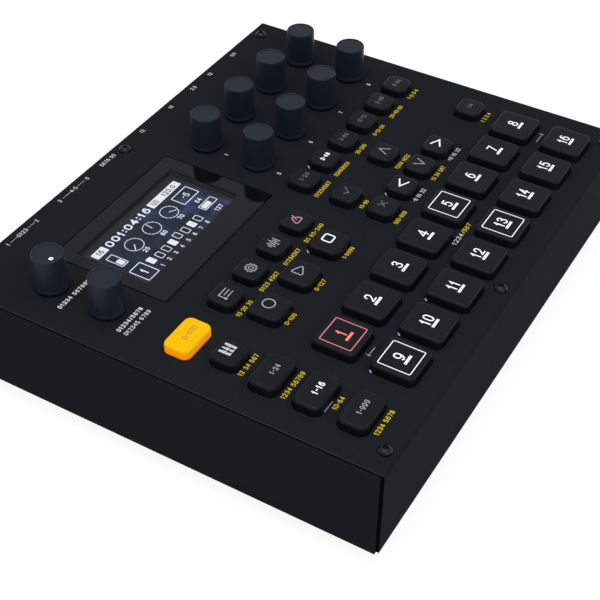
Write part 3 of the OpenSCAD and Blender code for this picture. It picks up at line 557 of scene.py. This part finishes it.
def add_object(name, bm, materials, smooth_angle=None):
    """Finishes a bmesh as an object, smooth up to an angle in degrees if one is given."""
    mesh = bpy.data.meshes.new(name)
    bm.to_mesh(mesh)
    bm.free()
    for material in materials:
        mesh.materials.append(material)
    if smooth_angle is not None:
        mesh.polygons.foreach_set("use_smooth", [True] * len(mesh.polygons))
        mesh.set_sharp_from_angle(angle=math.radians(smooth_angle))
    made = bpy.data.objects.new(name, mesh)
    bpy.context.scene.collection.objects.link(made)
    return made


def add_piece(name, bm, materials, body, smooth_angle=None):
    """Finishes a bmesh as an object that rides on a body."""
    piece = add_object(name, bm, materials, smooth_angle)
    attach(piece, body)
    return piece


def sorted_copy(node, name, body, finishes, choose):
    """Copy of a CAD node in several finishes: choose names one from a face's middle, in
    millimetres from the left edge, the rear face and the table."""
    bm = bmesh.new()
    bm.from_mesh(frame["nodes"][node].data)
    bmesh.ops.remove_doubles(bm, verts=bm.verts, dist=1e-6)
    names = list(finishes)
    origin = Vector((LEFT_X, REAR_Y, 0.0))
    for face in bm.faces:
        face.material_index = names.index(choose((face.calc_center_median() - origin) / MM))
    piece = add_piece(name, bm, list(finishes.values()), body, smooth_angle=35)
    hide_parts(node)
    return piece


def socket_finish(spot):
    """Finish of a face of the main board, from its middle."""
    x, y, z = spot
    height = z - BOARD_TOP
    if height <= 0.01:
        return "board"
    for socket in ROUND_SOCKETS:
        across, up = x - socket, height - ROUND_AXIS
        if y > SHELL_END and SHELL_INNER < math.hypot(across, up) < SHELL_OUTER:
            return "plating"
        for turn in range(0, 181, 45):
            pin = Vector((PIN_REACH, 0.0))
            pin.rotate(Matrix.Rotation(math.radians(turn), 2))
            from_pin = math.hypot(abs(across) - abs(pin.x), abs(up) - abs(pin.y))
            if y < PIN_END and from_pin < PIN_RADIUS:
                return "plating"
    across = abs(x - COMPUTER_SOCKET)
    if across < CAN_HALF and y > CAN_END:
        inside = across < CORE_HALF and abs(height - COMPUTER_AXIS) < CORE_HALF_HEIGHT
        return "plastic" if inside else "plating"
    if math.hypot(x - POWER_INLET, height - INLET_AXIS) < INLET_PIN:
        return "plating"
    if y > BUSHING_END and any(math.hypot(x - jack, height - JACK_AXIS) < BUSHING_RADIUS
                               for jack in JACKS):
        return "plating"
    return "plastic"


def spun(profile, centre, segments=64):
    """Solid of revolution about an upright axis: profile is (radius, height) in metres."""
    bm = bmesh.new()
    verts = [bm.verts.new((r, 0.0, z)) for r, z in profile]
    edges = [bm.edges.new(pair) for pair in zip(verts, verts[1:])]
    bmesh.ops.spin(bm, geom=verts + edges, cent=(0, 0, 0), axis=(0, 0, 1),
                   angle=2 * math.pi, steps=segments, use_merge=True)
    bmesh.ops.remove_doubles(bm, verts=bm.verts, dist=1e-7)
    bmesh.ops.recalc_face_normals(bm, faces=bm.faces)
    bmesh.ops.translate(bm, verts=bm.verts, vec=centre)
    return bm


def top_middle(node):
    """Middle of a node's upper face."""
    low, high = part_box(node)
    return Vector(((low.x + high.x) / 2, (low.y + high.y) / 2, high.z))


def panel_spot(node):
    """Middle of a node on the panel, in millimetres from its rear left corner."""
    return ((top_middle(node) - PANEL_ORIGIN) / MM).to_2d()


# ---- marks on keys


# Widths of a step key's digits in millimetres
ONE_DIGIT, TWO_DIGITS = 2.65, 4.85
DIGIT_SPANS = {"1": 1.5, "4": 3.2, "11": 4.2}


def mark_step(ink, step, setting):
    """Digits with a bar in front of them."""
    digits = str(step)
    height, line = setting.digit / MM, setting.digit_line / MM
    span = DIGIT_SPANS.get(digits, ONE_DIGIT if len(digits) == 1 else TWO_DIGITS)
    ink.text(digits, height, 0.0, setting.digit_rise / MM, line, span)
    half, width = setting.bar / MM / 2, setting.bar_line / MM
    y = -setting.bar_drop / MM
    ink.stroke([(width / 2 - half, y), (half - width / 2, y)], width)


def mark_piano(ink):
    """Three white piano keys with gaps for the black ones."""
    tall, wide, gap, notch = 4.7, 1.42, 0.32, 0.48
    for i in (-1, 0, 1):
        left = i * (wide + gap) - wide / 2
        right = left + wide
        cut_left = left + (notch if i > -1 else 0)
        cut_right = right - (notch if i < 1 else 0)
        middle = -tall / 2 + 0.42 * tall
        ink.fill([(left, -tall / 2), (right, -tall / 2), (right, middle), (cut_right, middle),
                  (cut_right, tall / 2), (cut_left, tall / 2), (cut_left, middle),
                  (left, middle)])


def mark_strokes(*strokes):
    """Mark of strokes: each is a path, its width, and True if it is closed."""
    def draw(ink):
        for stroke in strokes:
            ink.stroke(*stroke)
    return draw


def mark_list(ink):
    """Three lines hung from an upright that ends in a dot."""
    for y in (-1.5, 0.0, 1.5):
        ink.stroke([(-0.9, y), (2.4, y)], 0.42)
    ink.stroke([(-0.9, 1.5), (-2.2, 1.5), (-2.2, -1.2)], 0.42)
    ink.fill(circle(-2.2, -1.6, 0.62, 20))


def mark_gear(ink):
    """Toothed wheel round a ring."""
    teeth = 10
    path = []
    for i in range(teeth):
        for place, radius in ((-0.30, 1.76), (-0.18, 2.24), (0.18, 2.24), (0.30, 1.76)):
            a = 2 * math.pi * (i + place) / teeth
            path.append((radius * math.cos(a), radius * math.sin(a)))
    ink.stroke(path, 0.32, closed=True)
    ink.stroke(circle(0, 0, 0.88), 0.40, closed=True)


def mark_arrow(turn, width):
    """Open arrow head; turn is in degrees from pointing right."""
    spin = Matrix.Rotation(math.radians(turn), 2)
    path = [spin @ Vector(p) for p in ((-1.9, 2.0), (2.1, 0.0), (-1.9, -2.0))]
    return mark_strokes((path, width))


mark_wave = mark_strokes(*(([((i - 2.5) * 0.9, -half), ((i - 2.5) * 0.9, half)], 0.42)
                           for i, half in enumerate((0.7, 1.76, 1.14, 2.2, 0.88, 1.58))))
mark_metronome = mark_strokes(
    (round_corners([(-2.5, -1.9), (2.5, -1.9), (0.0, 2.2)], 0.7), 0.5, True),
    ([(0.0, -0.4), (1.3, 2.3)], 0.42))
mark_record = mark_strokes((circle(0, 0, 2.3), 0.45, True))
mark_play = mark_strokes(
    (round_corners([(-2.1, -2.6), (2.9, 0.0), (-2.1, 2.6)], 0.6), 0.45, True))
mark_stop = mark_strokes((box_path(0, 0, 4.0, 4.0, 0.8), 0.62, True))
mark_tick = mark_strokes(([(-2.0, 0.1), (-0.6, -1.4), (2.0, 1.5)], 0.40))
mark_cross = mark_strokes(*(([(-1.4, -1.4 * way), (1.4, 1.4 * way)], 0.40)
                            for way in (1, -1)))


def mark_number(words, height=2.0, line=0.30, span=None):
    """Small number in the middle of a key."""
    def draw(ink):
        ink.text(words, height, 0.0, 0.0, line, span)
    return draw


# Marks of the panel keys: node, drawing, ink, and place in millimetres to the right and rear
KEY_MARKS = [
    (LIT_KEY, mark_number("0-100", 2.3, span=7.3), "amber_mark", (1.1, -0.14)),
    ("keyboard_key", mark_piano, "pale", (0.88, 1.13)),
    ("track_key", mark_number("1-24", span=5.0), "mid", (0.87, -0.47)),
    ("pattern_key", mark_number("1-16", 2.45, 0.46, 6.0), "white", (0.65, -0.26)),
    ("song_key", mark_number("1-999", 2.1, span=6.8), "mid", (0.7, 0.0)),
    ("kit_key", mark_list, "mid", (0.0, 0.15)),
    ("settings_key", mark_gear, "mid", (0.0, -0.16)),
    ("sampling_key", mark_wave, "mid", (-0.26, 0.25)),
    ("tempo_key", mark_metronome, "pink", (-0.25, 0.2)),
    ("record_key", mark_record, "mid", (0.57, 0.83)),
    ("play_key", mark_play, "mid", (0.57, 0.70)),
    ("stop_key", mark_stop, "white", (0.87, 0.61)),
    ("trigger_page_key", mark_number("1-24", span=5.6), "grey", (0.11, 0.33)),
    ("source_page_key", mark_number("2-48", line=0.42, span=5.4), "white", (0.29, 0.0)),
    ("filter_page_key", mark_number("3-60", span=5.5), "grey", (0.2, 0.1)),
    ("level_page_key", mark_number("0-12", span=5.3), "grey", (0.2, 0.1)),
    ("effects_page_key", mark_number("0-99", span=5.5), "grey", (0.2, 0.1)),
    ("modulation_page_key", mark_number("0-64", span=5.5), "grey", (0.2, 0.1)),
    ("accept_key", mark_tick, "grey", (0.4, 0.3)),
    ("cancel_key", mark_cross, "grey", (0.5, 0.5)),
    ("up_key", mark_arrow(90, 0.38), "mid", (0.4, 0.3)),
    ("down_key", mark_arrow(-90, 0.38), "mid", (0.4, 0.3)),
    ("left_key", mark_arrow(180, 0.62), "white", (0.2, 0.15)),
    ("right_key", mark_arrow(0, 0.62), "white", (0.53, 0.32)),
    ("pattern_page_key", mark_number("1:4"), "grey", (0.3, 0.2)),
]

# How strongly the mark of each colour glows
MARK_GLOW = {"white": 0.35, "pale": 0.0, "mid": 0.0, "grey": 0.0, "pink": 0.0, "red": 0.35,
             "rose": 0.3, "amber_mark": 0.0}

SMALL_KEYS = [node for node, _, _, _ in KEY_MARKS if node != LIT_KEY]

# Keys whose light shows at their rear left corner, as a painted glowing arc
LEAKING_KEYS = ["step_key_9", "step_key_10", "step_key_11", "source_page_key", "left_key",
                "stop_key"]

# Yellow labels in front of keys, in millimetres: node, characters, length, and place to the
# right and front of the key's middle
KEY_LABELS = [
    ("keyboard_key", "12 34 567", 11.5, 1.0, 6.9),
    ("track_key", "1234 56789", 14.1, 0.5, 7.7),
    ("pattern_key", "10-64", 6.3, 1.0, 7.7),
    ("song_key", "1234 5678", 12.1, 1.0, 7.7),
    ("kit_key", "10 20 30", 9.3, 0.0, 7.7),
    ("settings_key", "0123 4567", 11.8, 0.4, 7.7),
    ("sampling_key", "01234567", 10.5, 0.0, 7.7),
    ("tempo_key", "30 60-240", 12.8, -0.2, 7.7),
    ("record_key", "0-100", 6.3, 0.8, 7.9),
    ("play_key", "0-127", 6.5, 0.9, 7.9),
    ("stop_key", "1-9999", 7.1, 1.0, 7.9),
    ("trigger_page_key", "01234567", 11.1, 0.7, 7.7),
    ("source_page_key", "02468024", 10.7, 0.5, 7.7),
    ("filter_page_key", "20-200", 7.2, 0.8, 7.7),
    ("level_page_key", "0-12-24", 8.3, 0.6, 7.7),
    ("effects_page_key", "20-40-60", 10.0, 0.6, 7.7),
    ("modulation_page_key", "1-2-3-4", 7.9, 0.6, 7.7),
    ("accept_key", "10-90", 5.5, 0.45, 7.7),
    ("cancel_key", "100-900", 8.8, 0.3, 7.3),
    ("up_key", "1248 1632", 10.8, 1.7, 7.7),
    ("down_key", "12 34 567", 10.5, 1.9, 7.3),
    ("pattern_page_key", "1 2 3 4", 7.3, 0.6, 7.3),
    ("step_key_5", "/567", 6.4, -6.0, 10.2),
]

# White labels on the cover, in millimetres from the left and rear edges: characters, x, y,
# length, line width
PANEL_LABELS = [
    ("01234 567890", 18.9, 41.2, 17.5, 0.36),
    ("01234/5678", 18.2, 66.0, 14.1, 0.36),
    ("012345 6789", 18.3, 69.2, 14.5, 0.24),
    ("-8 16 32", 133.9, 120.9, 9.3, 0.22),
    ("+8 16 32", 165.6, 120.9, 9.4, 0.22),
    ("1234", 117.1, 145.4, 7.4, 0.24),
] + [(words, x, y, span, 0.22) for words, x, y, span in (
    ("1", 28.25, 3.4, None), ("0123", 36.45, 3.4, 5.1), ("2", 44.9, 3.4, None),
    ("3", 59.1, 3.4, None), ("4-5", 67.75, 3.4, 3.5), ("6", 76.3, 3.4, None),
    ("5678 90", 90.25, 3.2, 9.1), ("12", 114.0, 3.2, None), ("16", 134.8, 3.2, None),
    ("2.0", 152.0, 3.2, None), ("12", 165.0, 3.2, None), ("0/1", 184.0, 3.2, None))]

# White lines on the cover, in millimetres from the left and rear edges: two ends, width
PANEL_LINES = [
    ((29.6, 3.4), (33.7, 3.4), 0.12), ((39.5, 3.4), (43.8, 3.4), 0.12),
    ((61.1, 3.4), (65.8, 3.4), 0.12), ((70.0, 3.4), (74.5, 3.4), 0.12),
    ((44.6, 146.0), (49.6, 146.0), 0.15), ((45.2, 144.7), (45.2, 146.7), 0.15),
    ((191.0, 146.2), (197.8, 146.2), 0.15), ((197.2, 144.9), (197.2, 146.9), 0.15),
]


# ---- operators


class Dressing:
    """What the operators for the machine share."""

    def execute(self, context):
        self.build(context.scene.drum_finish, context.scene.drum_print)
        return {"FINISHED"}


class DRUM_OT_case(Dressing, bpy.types.Operator):
    """Coats the case and finishes the feet, screws and sockets"""

    bl_idname = "drum.case"
    bl_label = "Case"

    def build(self, finish, setting):
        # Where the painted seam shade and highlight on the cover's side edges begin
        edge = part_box("top_cover")[1].x - 0.06 * MM
        dress("top_cover", powder_coat("powder_coat", finish, edge))
        dress("base_case", powder_coat("tray_coat", finish))
        dress("rubber_feet", plain("foot_rubber", finish.rubber, 0.8, 0.3, (0.001, 0.2),
                                   (0.002, 0.72, 0.9), (0.0004, 0.00002, 4.0)).material)
        dress("panel_board", board_mask(finish))
        plastic = plain("black_plastic", finish.plastic, 0.5, 0.4, (0.002, 0.12),
                        (0.003, 0.45, 0.6), (0.0004, 0.000008)).material
        dress("display_module", plastic)
        dress("power_button", plastic)
        dress("fasteners", screw_metal(finish))
        plating = plain("plating", finish.plating, 0.3, 0.5, (0.0009, 0.06),
                        (0.0015, 0.24, 0.375), (0.0004, 0.000002), metallic=1.0).material
        sorted_copy("main_board", "main_board_sorted", CHASSIS,
                    {"board": board_mask(finish), "plastic": plastic, "plating": plating},
                    socket_finish)


class DRUM_OT_keys(Dressing, bpy.types.Operator):
    """Finishes every key cap and paints glowing slivers in the gap behind the lit ones"""

    bl_idname = "drum.keys"
    bl_label = "Keys"

    # Painted glow in a gap, in millimetres: out from the key's wall, its width, and below the
    # panel
    OUT, WIDTH, SINK = 0.20, 0.17, 0.2

    def build(self, finish, setting):
        plastic = plain("key_plastic", finish.key, 0.36, 0.12, (0.0025, 0.07),
                        (0.003, 0.33, 0.40), (0.00018, 0.000006)).material
        for node in STEP_KEYS + SMALL_KEYS:
            dress(node, plastic)
        dress(LIT_KEY, lit_plastic(finish, PANEL_Z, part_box(LIT_KEY)[1].z))
        leaks = Print()
        for node in LEAKING_KEYS:
            self.leak(leaks, node)
        # A thin painted line of glow shows in front of the pattern key
        spot = panel_spot("pattern_key")
        front = (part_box("pattern_key")[0].y - REAR_Y) / MM + KEY_LIP - 0.3
        leaks.stroke([(spot.x - 4.8, front), (spot.x + 0.9, front)], 0.055)
        leaks.place("key_lights", PANEL_ORIGIN - Vector((0, 0, self.SINK * MM)),
                    print_ink("key_light", finish.leak, 0.6), CHASSIS, "powder_coat", 0.1 * MM)

    def leak(self, ink, node):
        """Short glowing arc painted in the gap at a key's rear left corner, for the backlight
        that shows there.
        """
        corner = 2.2 if node in STEP_KEYS else 2.8
        low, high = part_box(node)
        x = (low.x - LEFT_X) / MM + KEY_LIP + corner
        y = (high.y - REAR_Y) / MM - KEY_LIP - corner
        ink.stroke(arc(x, y, corner + self.OUT, 126, 156, 6), self.WIDTH)


class DRUM_OT_marks(Dressing, bpy.types.Operator):
    """Puts digits, frames and symbols on the keys"""

    bl_idname = "drum.marks"
    bl_label = "Key marks"

    def build(self, finish, setting):
        inks = {name: print_ink(f"{name}_mark", getattr(finish, name), glow)
                for name, glow in MARK_GLOW.items()}
        side = setting.frame / MM

        def put(mark, name, node, ink, slot, right=0.0, rear=0.0):
            origin = top_middle(node) + Vector((right, rear, 0.0)) * MM
            mark.place(f"{node}_{name}", origin, inks[ink], node, slot, setting.thickness)

        for step, node in enumerate(STEP_KEYS, start=1):
            first = node == STEP_KEYS[0]
            digits = Print()
            mark_step(digits, step, setting)
            put(digits, "digits", node, "red" if first else "white", "step_key")
            if node in BEAT_KEYS:
                rim = Print()
                rim.stroke(box_path(0, 0, side, side, 0.5), setting.frame_line / MM,
                           closed=True)
                put(rim, "frame", node, "rose" if first else "white", "step_key")
        for node, draw, ink, (right, rear) in KEY_MARKS:
            mark = Print()
            draw(mark)
            put(mark, "mark", node, ink, "panel_key", right, rear)


class DRUM_OT_labels(Dressing, bpy.types.Operator):
    """Prints the labels on the cover"""

    bl_idname = "drum.labels"
    bl_label = "Panel labels"

    # Number of a data knob, from the knob's middle
    NUMBER_X, NUMBER_Y = -1.7, -10.6

    def build(self, finish, setting):
        height, line = setting.label / MM, setting.label_line / MM
        yellow = Print()
        for node, words, span, right, forward in KEY_LABELS:
            spot = panel_spot(node)
            yellow.text(words, height, spot.x + right, spot.y - forward, line, span)
        yellow.place("yellow_labels", PANEL_ORIGIN, print_ink("yellow_ink", finish.yellow),
                     CHASSIS, "powder_coat", setting.thickness)
        white = Print()
        for words, x, y, span, width in PANEL_LABELS:
            white.text(words, height, x, -y, width, span)
        for knob, node in enumerate(KNOBS[2:], start=1):
            x, y = panel_spot(node) + Vector((self.NUMBER_X, self.NUMBER_Y))
            white.text(str(knob), height, x, y, line)
        for *ends, width in PANEL_LINES:
            white.stroke([(x, -y) for x, y in ends], width)
        white.place("white_labels", PANEL_ORIGIN, print_ink("white_ink", finish.white),
                    CHASSIS, "powder_coat", setting.thickness)


class DRUM_OT_knobs(Dressing, bpy.types.Operator):
    """Finishes the ten knobs and sets the pointer dot"""

    bl_idname = "drum.knobs"
    bl_label = "Knobs"

    # Dot of the volume knob, in millimetres: radius, and place from the top's middle
    DOT_RADIUS, DOT_PLACE = 0.9, (-1.62, -2.95, -0.22)

    def build(self, finish, setting):
        plastic = knob_plastic(finish)
        for node in KNOBS:
            dress(node, plastic)
        profile = [(0.0, 0.0), (0.85 * self.DOT_RADIUS, 0.0), (self.DOT_RADIUS, -0.03),
                   (self.DOT_RADIUS, -0.1), (0.0, -0.1)]
        dot = spun([(r * MM, z * MM) for r, z in profile],
                   top_middle("volume_knob") + Vector(self.DOT_PLACE) * MM, segments=32)
        # The printed dot is given a faint glow: painted light, as nothing lights it from within
        add_piece("volume_dot", dot, [print_ink("dot_white", finish.white, 0.25)],
                  "volume_knob", smooth_angle=40)


class DRUM_OT_window(Dressing, bpy.types.Operator):
    """Builds the window and the lit screen under it"""

    bl_idname = "drum.window"
    bl_label = "Window and screen"

    # In millimetres: clear part of the window and lit part of the screen, each with its place
    # from the window's left and rear edges, its width and its depth
    CLEAR_X, CLEAR_Y, CLEAR_W, CLEAR_D = 5.6, 6.9, 60.6, 32.4
    LIT_X, LIT_Y, LIT_W, LIT_D = 9.0, 10.3, 54.3, 27.2
    PIXEL = LIT_W / 128
    # Screen below the window's top, thickness of a layer on it, and from each layer to the next
    SCREEN_DROP, FILM, ABOVE = 3.25, 0.01, 0.012
    CORNER, RIM = 1.0, 0.3  # roundings of the window's corners and top edges

    def build(self, finish, setting):
        low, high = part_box("display_window")
        corner = Vector((low.x, high.y, high.z))
        self.window(finish, low, high, corner)
        self.screen(finish, corner)

    def bevel(self, bm, size, segments, chosen):
        """Rounds the edges that are chosen by their ends."""
        edges = [e for e in bm.edges if chosen(*(v.co.z for v in e.verts))]
        bmesh.ops.bevel(bm, geom=edges, offset=size * MM, affect="EDGES", segments=segments,
                        profile=0.5, material=-1)

    def window(self, finish, low, high, corner):
        """Sheet with a printed rim round its clear part, and its sloped and upright faces
        painted near black and matte as the shade in the gap round it.
        """
        bm = bmesh.new()
        bmesh.ops.create_cube(bm, size=1.0)
        bmesh.ops.scale(bm, verts=bm.verts, vec=high - low)
        bmesh.ops.translate(bm, verts=bm.verts, vec=(low + high) / 2)
        self.bevel(bm, self.CORNER, 5, lambda a, b: abs(a - b) > MM)
        self.bevel(bm, self.RIM, 2, lambda a, b: min(a, b) > high.z - 0.01 * MM)
        left = corner.x + self.CLEAR_X * MM
        rear = corner.y - self.CLEAR_Y * MM
        right, front = left + self.CLEAR_W * MM, rear - self.CLEAR_D * MM
        for place, across in (((left, 0, 0), (1, 0, 0)), ((right, 0, 0), (1, 0, 0)),
                              ((0, rear, 0), (0, 1, 0)), ((0, front, 0), (0, 1, 0))):
            bmesh.ops.bisect_plane(bm, geom=bm.verts[:] + bm.edges[:] + bm.faces[:],
                                   plane_co=place, plane_no=across)
        bmesh.ops.recalc_face_normals(bm, faces=bm.faces)
        rim, pane, edge = range(3)
        for face in bm.faces:
            middle = face.calc_center_median()
            if face.normal.z < 0.99 and middle.z > low.z + 0.1 * MM:
                face.material_index = edge
            elif left < middle.x < right and front < middle.y < rear:
                face.material_index = pane
        # Painted shade: the window's edges are near black and without sheen, so the gap round
        # the window looks dark
        gap_shade = plain("window_edge", (0.003, 0.003, 0.003), 0.9, 0.0, mottle=(0.002, 0.1))
        piece = add_piece("window_sheet", bm, [window_rim(finish), window_pane(),
                                               gap_shade.material], CHASSIS)
        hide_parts("display_window")

    def screen(self, finish, corner):
        """Dark ground with bright marks: numbers, dials, meters and a grid of steps."""
        origin = corner + Vector((self.LIT_X, -self.LIT_Y, -self.SCREEN_DROP)) * MM
        ground, bright, dark = Print(), Print(), Print()
        ground.fill(box_path(self.LIT_W / 2, -self.LIT_D / 2, self.LIT_W + 0.8,
                             self.LIT_D + 0.8, 0.1))
        self.top_row(bright, dark)
        self.dial_row(bright)
        self.step_row(bright)
        for level, (ink, name, material) in enumerate((
                (ground, "screen_ground", screen_ground(finish)),
                (bright, "screen_marks", print_ink("screen_white", finish.white, 0.55)),
                (dark, "screen_figures", print_ink("screen_dark", finish.screen)))):
            ink.place(name, origin + Vector((0, 0, level * self.ABOVE * MM)), material,
                      CHASSIS, "screen", self.FILM * MM)

    def spot(self, x, y):
        """Place of a pixel, counted from the lit part's left and rear edges."""
        return x * self.PIXEL, -y * self.PIXEL

    def pixel_box(self, ink, left, top, right, bottom, line=None):
        """Box between pixels, filled or as a line."""
        x, y = self.spot((left + right) / 2, (top + bottom) / 2)
        width, height = (right - left) * self.PIXEL, (bottom - top) * self.PIXEL
        if line:
            ink.stroke(box_path(x, y, width - line, height - line, 0.3), line, closed=True)
        else:
            ink.fill(box_path(x, y, width, height, 0.35))

    def figures(self, ink, words, tall, x, y, line, span=None):
        """Number round a pixel, tall and span in pixels."""
        spread = span * self.PIXEL if span else None
        ink.text(words, tall * self.PIXEL, *self.spot(x, y), line, spread)

    def top_row(self, bright, dark):
        self.pixel_box(bright, 0, 0, 16, 9)
        self.figures(dark, "16", 6, 8, 4.5, 0.4)
        self.figures(bright, "001:04:16", 8.4, 50, 4.5, 0.72, 62)
        self.pixel_box(bright, 84, 0, 128, 9)
        for i in range(3):
            dark.stroke([self.spot(x, 2.3 + 2.2 * i) for x in (88, 95)], 0.36)
        self.figures(dark, "120.0", 6, 113, 4.5, 0.4)

    def dial_row(self, bright):
        self.meter(bright, 3, 14, 12, 33, 0.6)
        for x, turn in ((33, 225), (60, 80), (87, -30)):
            self.dial(bright, x, 23.5, 8.6, turn)
            self.figures(bright, str(turn % 100), 5, x, 36.5, 0.34)
        self.pixel_box(bright, 103, 14, 127, 30, 0.4)
        self.figures(bright, "-5", 7, 115, 22, 0.42)
        self.figures(bright, "64", 5, 115, 36.5, 0.34)

    def step_row(self, bright):
        self.pixel_box(bright, 0, 41, 16, 63, 0.4)
        self.figures(bright, "1", 9, 8, 52, 0.6)
        for i in range(8):
            x, y = self.spot(23 + 10 * i, 51 if i % 4 else 49)
            if i % 3:
                bright.stroke(box_path(x, y, 2.4, 3.6, 0.3), 0.32, closed=True)
            else:
                bright.fill(box_path(x, y, 2.7, 3.9, 0.35))
            self.figures(bright, str(i + 1), 4.6, 23 + 10 * i, 61, 0.3)
        self.meter(bright, 106, 42, 126, 51, 0.75)
        self.figures(bright, "127", 5, 116, 58.5, 0.34)

    def dial(self, ink, x, y, radius, turn):
        """Ring of short dashes with a pointer."""
        centre = self.spot(x, y)
        reach = radius * self.PIXEL
        for start in range(0, 360, 24):
            ink.stroke(arc(*centre, reach, start, start + 15, 3), 0.34)
        tip = arc(*centre, 0.8 * reach, turn, turn, 1)[0]
        ink.stroke([centre, tip], 0.36)

    def meter(self, ink, left, top, right, bottom, filled):
        """Outlined box, filled over a share of its longer side."""
        self.pixel_box(ink, left, top, right, bottom, 0.36)
        edge = 1.8
        if right - left > bottom - top:
            right = left + filled * (right - left)
        else:
            top = bottom - filled * (bottom - top)
        self.pixel_box(ink, left + edge, top + edge, right - edge, bottom - edge)


class DRUM_OT_stage(bpy.types.Operator):
    """Sets the floor, lamps, surroundings and camera"""

    bl_idname = "drum.stage"
    bl_label = "Stage"

    # Strength of the white that the floor shows, and its share over the lit grey floor
    WHITE, WHITE_SHARE = 1.13, 0.8

    def execute(self, context):
        setting = context.scene.drum_stage
        self.floor(setting)
        self.lamp(context, "top_lamp", (-0.15, 0.15, 1.35), 1.1, setting.top_power)
        self.lamp(context, "front_lamp", (-0.45, -0.75, 0.85), 0.3, setting.front_power)
        self.lamp(context, "right_lamp", (0.9, -0.9, 0.5), 0.6, setting.right_power)
        self.sky(context, setting)
        self.camera(context, setting)
        context.scene.view_settings.view_transform = "Standard"
        return {"FINISHED"}

    def floor(self, setting):
        """Round pale floor with a rim that curves up into a backdrop."""
        radius, rise = setting.floor_radius, setting.floor_rise
        bend = 0.5 * rise
        profile = [(0.0, 0.0), (0.5 * radius, 0.0), (radius, 0.0)]
        profile += [(radius + x, bend + y) for x, y in arc(0, 0, bend, -90, 0, 12)[1:]]
        profile.append((radius + bend, rise))
        bm = spun(profile, (0, 0, 0), segments=96)
        if bm.faces[0].normal.z < 0:
            bmesh.ops.reverse_faces(bm, faces=bm.faces)
        made = plain("pale_floor", (0.84, 0.84, 0.84), 0.9, 0.0, mottle=(0.4, 0.01))
        rays = made.add("LightPath").outputs
        seen = made.math("ADD", rays["Is Camera Ray"], rays["Is Glossy Ray"])
        seen = made.math("ADD", seen, rays["Is Transmission Ray"])
        white = made.add("Emission", {"Strength": self.WHITE})
        mix = made.add("MixShader", {
            0: made.math("MULTIPLY", seen, self.WHITE_SHARE, clamp=True),
            1: made.bsdf.outputs["BSDF"], 2: white.outputs["Emission"]})
        made.join(mix.outputs["Shader"], made.output.inputs["Surface"])
        piece = add_object("floor", bm, [made.material], smooth_angle=180)

    def lamp(self, context, name, place, size, watts):
        """Square soft lamp that looks at the machine."""
        light = bpy.data.lights.new(name, "AREA")
        light.energy = watts
        light.shape = "SQUARE"
        light.size = size
        lamp = bpy.data.objects.new(name, light)
        lamp.location = place
        aim = Vector((0, 0, PANEL_Z)) - Vector(place)
        lamp.rotation_euler = aim.to_track_quat("-Z", "Y").to_euler()
        context.scene.collection.objects.link(lamp)

    def sky(self, context, setting):
        """Grey surroundings, darker near the horizon."""
        world = bpy.data.worlds.new("surroundings")
        world.use_nodes = True
        context.scene.world = world
        nodes, links = world.node_tree.nodes, world.node_tree.links
        place = nodes.new("ShaderNodeTexCoord")
        split = nodes.new("ShaderNodeSeparateXYZ")
        height = nodes.new("ShaderNodeMapRange")
        for name, value in (("From Min", 0.1), ("From Max", 0.9),
                            ("To Min", setting.sky_low), ("To Max", setting.sky_high)):
            height.inputs[name].default_value = value
        links.new(place.outputs["Generated"], split.inputs["Vector"])
        links.new(split.outputs["Z"], height.inputs["Value"])
        links.new(height.outputs["Result"], nodes["Background"].inputs["Color"])

    def camera(self, context, setting):
        data = bpy.data.cameras.new("camera")
        data.lens = setting.lens
        data.sensor_width = 36.0
        data.clip_start, data.clip_end = 0.01, 20.0
        camera = bpy.data.objects.new("camera", data)
        camera.location = setting.eye
        camera.rotation_euler = Euler(setting.turn)
        context.scene.collection.objects.link(camera)
        context.scene.camera = camera


class DRUM_PT_looks(bpy.types.Panel):
    """Lists the operators and their settings"""

    bl_idname = "DRUM_PT_looks"
    bl_label = "Drum Machine"
    bl_space_type = "VIEW_3D"
    bl_region_type = "UI"
    bl_category = "Drum Machine"

    def draw(self, context):
        for operator in OPERATORS:
            self.layout.operator(operator.bl_idname)
        for group in (context.scene.drum_finish, context.scene.drum_print,
                      context.scene.drum_stage):
            column = self.layout.column(align=True)
            for name in type(group).__annotations__:
                column.prop(group, name)


SETTINGS = {
    "drum_finish": DrumFinishSettings,
    "drum_print": DrumPrintSettings,
    "drum_stage": DrumStageSettings,
}
OPERATORS = [DRUM_OT_case, DRUM_OT_keys, DRUM_OT_marks, DRUM_OT_labels, DRUM_OT_knobs,
             DRUM_OT_window, DRUM_OT_stage]


CLASSES = [*SETTINGS.values(), *OPERATORS, DRUM_PT_looks]


def register():
    for kind in CLASSES:
        bpy.utils.register_class(kind)
    for name, group in SETTINGS.items():
        setattr(bpy.types.Scene, name, PointerProperty(type=group))


def unregister():
    for name in SETTINGS:
        delattr(bpy.types.Scene, name)
    for kind in reversed(CLASSES):
        bpy.utils.unregister_class(kind)


def main():
    register()
    bpy.ops.drum.case()
    bpy.ops.drum.keys()
    bpy.ops.drum.marks()
    bpy.ops.drum.labels()
    bpy.ops.drum.knobs()
    bpy.ops.drum.window()
    bpy.ops.drum.stage()


if __name__ == "__main__":
    main()
